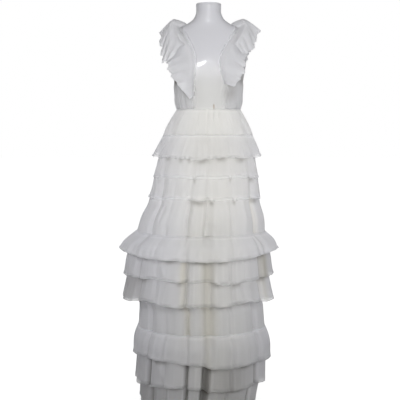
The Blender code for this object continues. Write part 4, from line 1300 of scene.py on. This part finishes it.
# Painted shade: cloth painted darker, as where the folds beside it shade it.
SHADES = {
    "skirt_yoke": table(Spot, (8.0, 50.0, 0.07)),
    "flounce_hip": table(Spot, (14.0, 40.0, 0.05)),
    "tier_hip": table(Spot, (10.0, 40.0, 0.06)),
    "tier_knee_upper": table(Spot, (62.0, 5.0, 0.22), (84.0, 16.0, 0.08)),
    "tier_knee_lower": table(Spot, (-68.0, 24.0, 0.26)),
    "tier_hem_upper": table(Spot, (-84.0, 30.0, 0.10), (26.0, 18.0, 0.22)),
    "tier_hem_lower": table(Spot, (-60.0, 34.0, 0.24), (28.0, 14.0, 0.12)),
}
# Gaps where the ivory slip glows through.
GLOWS = {
    "tier_knee_upper": table(Spot, (-11.0, 2.6, 0.8), (7.0, 5.0, 0.7), (62.0, 5.0, 0.8)),
    "tier_knee_lower": table(Spot, (-11.0, 2.6, 0.6), (7.0, 5.0, 0.5), (62.0, 5.0, 0.5)),
    "panel_calf": table(Spot, (-12.3, 3.2, 0.7), (6.6, 6.0, 0.8)),
    "flounce_calf": table(Spot, (5.0, 3.0, 0.4)),
    "panel_thigh": table(Spot, (-4.0, 14.0, 0.2), (57.0, 3.5, 0.4)),
}
# How far a hem droops, or rises where the amount is negative.
DROOPS = {
    "flounce_calf": table(Spot, (20.0, 16.0, 0.018), (-60.0, 22.0, -0.006)),
    "tier_knee_upper": table(Spot, (22.0, 8.0, 0.012), (-38.0, 16.0, -0.010)),
    "tier_knee_lower": table(Spot, (-42.0, 10.0, -0.012), (40.0, 12.0, -0.012)),
    "flounce_hip": table(Spot, (12.0, 14.0, -0.006)),
    "tier_hem_upper": table(Spot, (24.0, 20.0, 0.012)),
}
BACK_CLEAR = 85.0  # beyond this angle, hems stand clear where their own gathers rise
BACK_FADE = 20.0


def spots(table_of_spots, tier):
    """One tier's hills: amount * hill(angle - place, width) for each row of its table."""
    return [
        spot.amount * hill(turn_between(SKIRT_ANGLES, spot.angle), spot.width)
        for spot in table_of_spots.get(tier.name, ())
    ]


def clear_of(tier):
    """How far each angle's hem stands clear, 0 to 1: the hills in the table in front, and the
    crests of the tier's own ripples behind."""
    behind = ease(-0.2, 0.6, ripples(tier.gathers, 1.0, tier.seed))
    behind = behind * ease(BACK_CLEAR - BACK_FADE, BACK_CLEAR, np.abs(SKIRT_ANGLES))
    return np.clip(sum(spots(HEMS_CLEAR, tier)) + behind, 0.0, 1.0)


print("hems stand clear in front at", sum(len(rows) for rows in HEMS_CLEAR.values()), "places")

# %% Hang the tiers
ROW_STEP = 0.008  # the cloth's rows of points are this far apart
LIP_BEND = 0.0012  # the bend of the cloth at a fold's lip, where it lies double
HEM_LIFT = 0.0022  # where a hem stands clear, it stands out this much further
HEM_WAVE = 0.0034  # a free hem goes up and down with the gathers
HEM_SWAY = 0.0020  # and in five long waves round the skirt
HEM_FADE = 0.018  # a hem that melts into the cloth beneath does so over this length
SEAM_FADE = 0.010  # and a gathering seam over this length
SEAM_LIGHT = 0.12  # painted light: the cloth just below each seam is painted whiter, as less than no shade, where the drawn-up gathers look whiter
SEAM_REACH = 0.012
UNDER_SHADE = 0.42  # how deep the painted shade is under a hem that stands clear
UNDER_HEM = 0.006  # it lies this far below the hem
UNDER_WIDTH = 0.009
SHADE_GROWS = 0.6  # over this share of the fall, the folds' painted shade goes from its top to its hem value
SHADED_FOLD = (0.20, 0.60)  # it comes in between these shares of the deepest fold
# How much closer each cloth is packed than its finish says, how much thinner it lies in the folds, how
# far its seam and hem melt into the cloth beneath, how much whiter the lips of its folds are, and how
# deep the painted shade in its folds is at the top and at the hem.
Sheer = namedtuple("Sheer", "name packed in_folds at_seam at_hem lips shade_top shade_hem")
SHEER = table(
    Sheer,
    ("skirt_yoke", -0.04, 0.0, 0.6, 0.0, 0.0, 0.0, 0.0),
    ("flounce_hip", 0.12, 0.0, 0.9, 0.8, 0.0, 0.0, 0.0),
    ("tier_hip", 0.15, 0.0, 0.5, 0.9, 0.0, 0.0, 0.0),
    ("tier_thigh", 0.25, 0.0, 0.9, 0.9, 0.0, 0.0, 0.0),
    ("panel_thigh", 0.50, 0.0, 0.9, 0.0, 0.1, 0.0, 0.0),
    ("flounce_knee", 0.75, 0.0, 0.5, 0.5, 0.0, 0.0, 0.0),
    ("tier_knee_upper", 0.60, 0.0, 0.0, 0.7, 0.15, 0.42, 0.12),
    ("tier_knee_lower", 0.60, 0.0, 0.0, 0.7, 0.15, 0.1, 0.06),
    ("panel_calf", 0.70, 0.0, 0.0, 0.0, 0.1, 0.0, 0.0),
    ("flounce_calf", 0.75, 0.0, 0.5, 0.5, 0.1, 0.0, 0.0),
    ("tier_hem_upper", 0.60, 0.3, 0.0, 0.6, 0.2, 0.40, 0.40),
    ("tier_hem_lower", 0.90, 0.3, 0.0, 0.0, 0.2, 0.45, 0.45),
)


def lift_of(tier, level):
    """How far each row is lifted: by side_rise * sin^2 a and tilt * sin a, and towards the hem by
    a small wave that follows the gathers, less the droops."""
    rise, tilt = curves(all_rows(tier), ("side_rise", "tilt"), level)
    droop = sum(spots(DROOPS, tier))
    wobble = HEM_WAVE * ripples(tier.gathers, 1.0, tier.seed)
    wobble = wobble - HEM_SWAY * np.cos(5 * SKIRT_TURN + tier.seed)
    wobble = wobble if tier.sewn_to else 0.0 * wobble
    sine = np.sin(SKIRT_TURN)
    return rise * sine ** 2 + tilt * sine + (wobble - droop) * share_of(tier, level) ** 2


def shade_under_hems(tier, height):
    """The painted shade just under each hem that stands clear of this tier: a soft band along the hem.
    """
    total = 0.0 * height
    for above in TIERS:
        if tier.name in above.over:
            hem = above.rows[-1].height
            line = hem + lift_of(above, np.array([[hem]]))
            total = total + clear_of(above) * hill(height - line + UNDER_HEM, UNDER_WIDTH)
    return UNDER_SHADE * total


def make_tier(tier):
    """P = skirt_point(w(a, z), z), with each row lifted by lift_of, and with shade painted in its folds
    and under the hems.
    """
    hem = tier.rows[-1].height
    count = max(8, round((tier.seam - hem) / ROW_STEP)) + 1
    level = np.linspace(tier.seam, hem, count)[:, None]
    height = level + 0 * SKIRT_TURN
    share = share_of(tier, level)
    clear = clear_of(tier)
    at_hem = ease(-HEM_FADE, 0.0, hem - level)
    at_seam = 1.0 - ease(0.0, SEAM_FADE, tier.seam - level)
    points = skirt_point(spread_of(tier, height) + HEM_LIFT * clear * at_hem, height)
    points[..., 2] = np.maximum(points[..., 2] + lift_of(tier, level), HEM)

    sheer = next(row for row in SHEER if row.name == tier.name)
    fold_share = curves(all_rows(tier), ("fold_share",), level)[0]
    folds = folds_at(level)
    folded = np.clip(fold_share * folds / DEEPEST, 0.0, 1.0)
    bend = np.roll(folds, 1, axis=1) + np.roll(folds, -1, axis=1) - 2.0 * folds
    lips = np.clip(bend / LIP_BEND, 0.0, 1.0)
    thin = sheer.in_folds * folded - sheer.packed - sheer.lips * lips
    melt = np.maximum(sheer.at_hem * at_hem * (1.0 - clear), sheer.at_seam * at_seam)
    thin = np.minimum(thin + (1.0 - thin) * melt, 1.0)

    # Painted shade: deep darkens the colour in the folds, under hems that stand clear and at the SHADES
    # spots; just below the seam it goes below zero, a painted lightening.
    shade = sheer.shade_top + (sheer.shade_hem - sheer.shade_top) * ease(0.0, SHADE_GROWS, share)
    deep = shade * ease(*SHADED_FOLD, folded) + shade_under_hems(tier, points[..., 2])
    deep = np.clip(sum(spots(SHADES, tier), deep), 0.0, 1.0)
    deep = deep - SEAM_LIGHT * (1.0 - ease(0.0, SEAM_REACH, tier.seam - level))
    ivory = np.max([0.0 * SKIRT_ANGLES, *spots(GLOWS, tier)], axis=0)
    cloth = PANEL_CLOTH if tier.name.startswith("panel") else TIER_CLOTH
    piece = make_piece(tier.name + "_cloth", points, True, cloth, CLOTH, thin, deep, ivory)
    place(piece, "white_organza", tier.name)


for tier in TIERS:
    make_tier(tier)
print("tiers hung:", len(TIERS))

# %% [markdown]
# ## The slip and the little loop
#
# Under the organza hangs a plain ivory slip. It is satin and opaque, so it gives the middle of
# the skirt its warm tone. A slip is cut nearly straight, and it falls in a few long soft folds.
# At the foot of the V a small ribbon loop stands on the waist seam.

# %% The slip
SlipRow = namedtuple("SlipRow", "height half_width half_depth folds")
SLIP_ROWS = table(
    SlipRow,
    (0.250, 0.1880, 0.1560, 0.0060), (0.960, 0.1735, 0.1355, 0.0012),
    (1.080, 0.1490, 0.1110, 0.0004), (WAIST - 0.002, 0.1252, 0.0935, 0.0000),
)
SLIP_LEAN = 0.012  # the slip leans to the right by this for each metre below the waist
SLIP_BACK = 0.006  # and backwards by this
SATIN = 0.0006  # how thick it is


def make_slip():
    """An oval tube, with cos waves of a few counts that deepen towards its hem."""
    low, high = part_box("slip_skirt")
    level = np.linspace(high.z, low.z, 56)[:, None]
    theta = np.radians(all_round(160)[None, :])
    half_width, half_depth, folds = curves(
        SLIP_ROWS, ("half_width", "half_depth", "folds"), level, between=straight_between,
    )
    waves = np.cos(13 * theta + 0.8 * np.sin(2 * theta)) + 0.6 * np.cos(21 * theta + 2.0) - 1.6
    inset = 0.5 * folds * waves
    below = WAIST - level
    x = (half_width + inset) * np.sin(theta) - SLIP_LEAN * below
    y = -(half_depth + inset) * np.cos(theta) + SLIP_BACK * below
    points = np.stack([x, y, level + 0 * theta], axis=-1)
    place(make_piece("slip_skirt_cloth", points, True, SLIP_SATIN, SATIN), "ivory_slip", "slip_skirt")


make_slip()
print("slip made, widest", round(2 * SLIP_ROWS[0].half_width, 3), "m")

# %% The loop
LOOP_RIBBON = 0.0024  # how wide the ribbon is
LOOP_THICKNESS = 0.0005


def make_loop():
    """A flat ribbon carried along a small arch: up, over and down, pinched at its foot. Its two
    edges are arches, one inside the other by the ribbon's width."""
    low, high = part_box("waist_loop")
    middle_x, middle_y = (low.x + high.x) / 2, (low.y + high.y) / 2
    turn = np.linspace(0.0, math.pi, 28)[:, None]
    inside = LOOP_RIBBON * (0.5 - np.linspace(-0.5, 0.5, 6)[None, :])
    reach = (high.x - low.x) / 2 - inside
    x = middle_x - reach * np.cos(turn) * (0.55 + 0.45 * np.sin(turn))
    z = low.z + (high.z - low.z - inside) * np.sin(turn) ** 0.7
    points = np.stack([x, middle_y + 0 * x, z], axis=-1)
    loop = make_piece("waist_loop_ribbon", points, False, RIBBON, LOOP_THICKNESS)
    place(loop, "nude_ribbon", "waist_loop")


make_loop()
print("loop made, ribbon", 1000 * LOOP_RIBBON, "mm wide")

# %% [markdown]
# ## What each piece was cut from
#
# A frill is a straight strip. Its width here is the length along the whole hem, gathers laid flat, and
# its length is how far it falls. These sizes are worked out here for the slip, the panels and the
# frills.

HELD_BY = {tier.name: tier.sewn_to + "_cloth" for tier in TIERS}
HELD_BY["skirt_yoke"] = "bodice_front_left_cloth"
HELD_BY["slip_skirt"] = "skirt_yoke_cloth"


def lay_flat(piece):
    """(width, length, area) of a sheet: its longest edge row, its longest fall and its area."""
    mesh = piece.data
    fall = np.zeros(len(mesh.vertices))
    for label in ("from_seam", "from_hem"):
        values = np.zeros(len(mesh.vertices))
        mesh.attributes[label].data.foreach_get("value", values)
        fall += values
    across = max(loop.uv[0] for loop in mesh.uv_layers["cloth"].data)
    return float(across), float(fall.max()), float(sum(face.area for face in mesh.polygons))


for piece in [o for o in bpy.data.objects if o.name.endswith("_cloth")]:
    width, length, area = lay_flat(piece)
    width = math.ceil(1000 * max(width, area / length)) / 1000
    length = math.ceil(1000 * length) / 1000

# %% [markdown]
# ## Light, floor and camera
#
# The dress stands in a white studio. One large lamp faces it from the front, with a narrow
# spread, so that its light fades towards the floor. Weaker lamps at each side model the folds and
# light the edges, and two behind keep the back as light as the front. A small lamp works on gloss
# alone and puts the bright spots on the torso. White cloth against white needs care: the room is
# bright to the eye but gives only part of the light, so that the folds keep their shade.

# %% The lamps
Lamp = namedtuple("Lamp", "name location aim size energy spread")  # aim is a height on the dress
LAMPS = table(
    Lamp,
    ("key", (0.0, -3.0, 1.55), 1.38, 1.2, 9.9, 67.0),
    ("left_side", (1.9, -1.6, 1.5), 1.3, 1.0, 3.3, 90.0),
    ("right_side", (-2.0, -1.6, 1.5), 1.3, 1.0, 2.3, 90.0),
    ("edge_left", (2.5, 0.3, 1.1), 0.9, 1.2, 3.0, 100.0),
    ("edge_right", (-2.5, 0.3, 1.2), 1.0, 1.2, 2.2, 100.0),
    ("back_left", (1.1, 2.4, 1.6), 1.1, 1.2, 9.5, 100.0),
    ("back_right", (-1.3, 2.4, 1.6), 1.1, 1.2, 9.0, 100.0),
)
SPARK = Lamp("spark", (-0.20, -2.9, 2.44), 1.4, 0.38, 12.0, 180.0)


def area_light(row):
    """A square lamp that faces the dress's axis at its aim. A small spread keeps its light
    together."""
    data = bpy.data.lights.new(row.name, "AREA")
    data.size = row.size
    data.energy = row.energy
    data.spread = math.radians(row.spread)
    lamp = bpy.data.objects.new(row.name, data)
    direction = np.array((0.0, 0.0, row.aim)) - np.array(row.location)
    lamp.rotation_mode = "QUATERNION"
    lamp.rotation_quaternion = Vector(direction).to_track_quat("-Z", "Y")
    lamp.location = row.location
    lamp.visible_camera = False
    bpy.context.scene.collection.objects.link(lamp)
    return lamp


for row in LAMPS:
    area_light(row).visible_glossy = False
area_light(SPARK).visible_diffuse = False
print("lamps:", [row.name for row in LAMPS], "and the", SPARK.name)

# %% The room and the floor
ROOM_LIGHT = 0.28  # how bright the white room is as a light
FLOOR_GLOW = 0.82  # how white the floor is to the eye under the dress
FLOOR_FADE = 1.6  # and this far away it is as white as the room
FLOOR_LEVEL = -0.0003
FLOOR_RINGS = (AXIS, 0.5, 1.5, 4.0, 12.0, 40.0)
WHITE = (1.0, 1.0, 1.0)


def seen_only(tree, for_camera, for_light):
    """A number that is for_camera where the eye looks and for_light where light is gathered."""
    to_eye = add_node(tree, "ShaderNodeLightPath").outputs["Is Camera Ray"]
    return math_node(tree, "MULTIPLY_ADD", to_eye, for_camera - for_light, for_light)


def make_room():
    """The world: white to the eye, and a soft grey as a light."""
    world = bpy.data.worlds.new("studio")
    world.use_nodes = True
    bpy.context.scene.world = world
    tree = world.node_tree
    feed(tree, tree.nodes["Background"], Color=WHITE, Strength=seen_only(tree, 1.0, ROOM_LIGHT))


def make_floor():
    """A wide pale disc. It glows to the eye, more with the distance from the dress, so that it
    meets the white room without a line."""
    material, tree, surface = new_material("pale_floor")
    middle = add_node(tree, "ShaderNodeVectorMath", operation="LENGTH", Vector=object_place(tree))
    away = math_node(tree, "DIVIDE", middle.outputs["Value"], FLOOR_FADE)
    away = math_node(tree, "MINIMUM", away, 1.0)
    glow = math_node(tree, "MULTIPLY_ADD", away, 1.0 - FLOOR_GLOW, FLOOR_GLOW)
    glow = math_node(tree, "MULTIPLY", glow, seen_only(tree, 1.0, 0.0))
    feed(
        tree, surface,
        Base_Color=(0.30, 0.30, 0.30), Roughness=0.9, Emission_Color=WHITE, Emission_Strength=glow,
    )
    points = sweep([(radius, FLOOR_LEVEL) for radius in FLOOR_RINGS], 64)
    floor = make_piece("floor", points, True, material, 0, caps=("first",))
    floor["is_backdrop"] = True


make_room()
make_floor()
print("room light", ROOM_LIGHT, "floor glow", FLOOR_GLOW)

# %% The camera
scene = bpy.context.scene
scene.view_settings.view_transform = "Standard"

CAMERA_AT = (-0.034, -3.2, 1.068)
CAMERA_AIM = (-0.034, 0.0, 0.820)
camera_data = bpy.data.cameras.new("camera")
camera_data.lens = 72.0
camera_data.sensor_width = 36.0
camera = bpy.data.objects.new("camera", camera_data)
camera.location = CAMERA_AT
down = math.atan2(CAMERA_AT[2] - CAMERA_AIM[2], CAMERA_AIM[1] - CAMERA_AT[1])
camera.rotation_euler = (math.pi / 2 - down, 0.0, 0.0)
scene.collection.objects.link(camera)
scene.camera = camera
print("camera looks", round(math.degrees(down), 1), "degrees down")

# %% [markdown]
# ## Finish
#
# The last cell prints how far the looks depart from the construction's box.

# %% Sizes and the last line
VISUAL_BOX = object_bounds()
grown = [round(1000 * abs(v - c), 1) for a, b in zip(VISUAL_BOX, CAD_BOX) for v, c in zip(a, b)]
print("the looks depart from the frame's box by (mm):", grown)
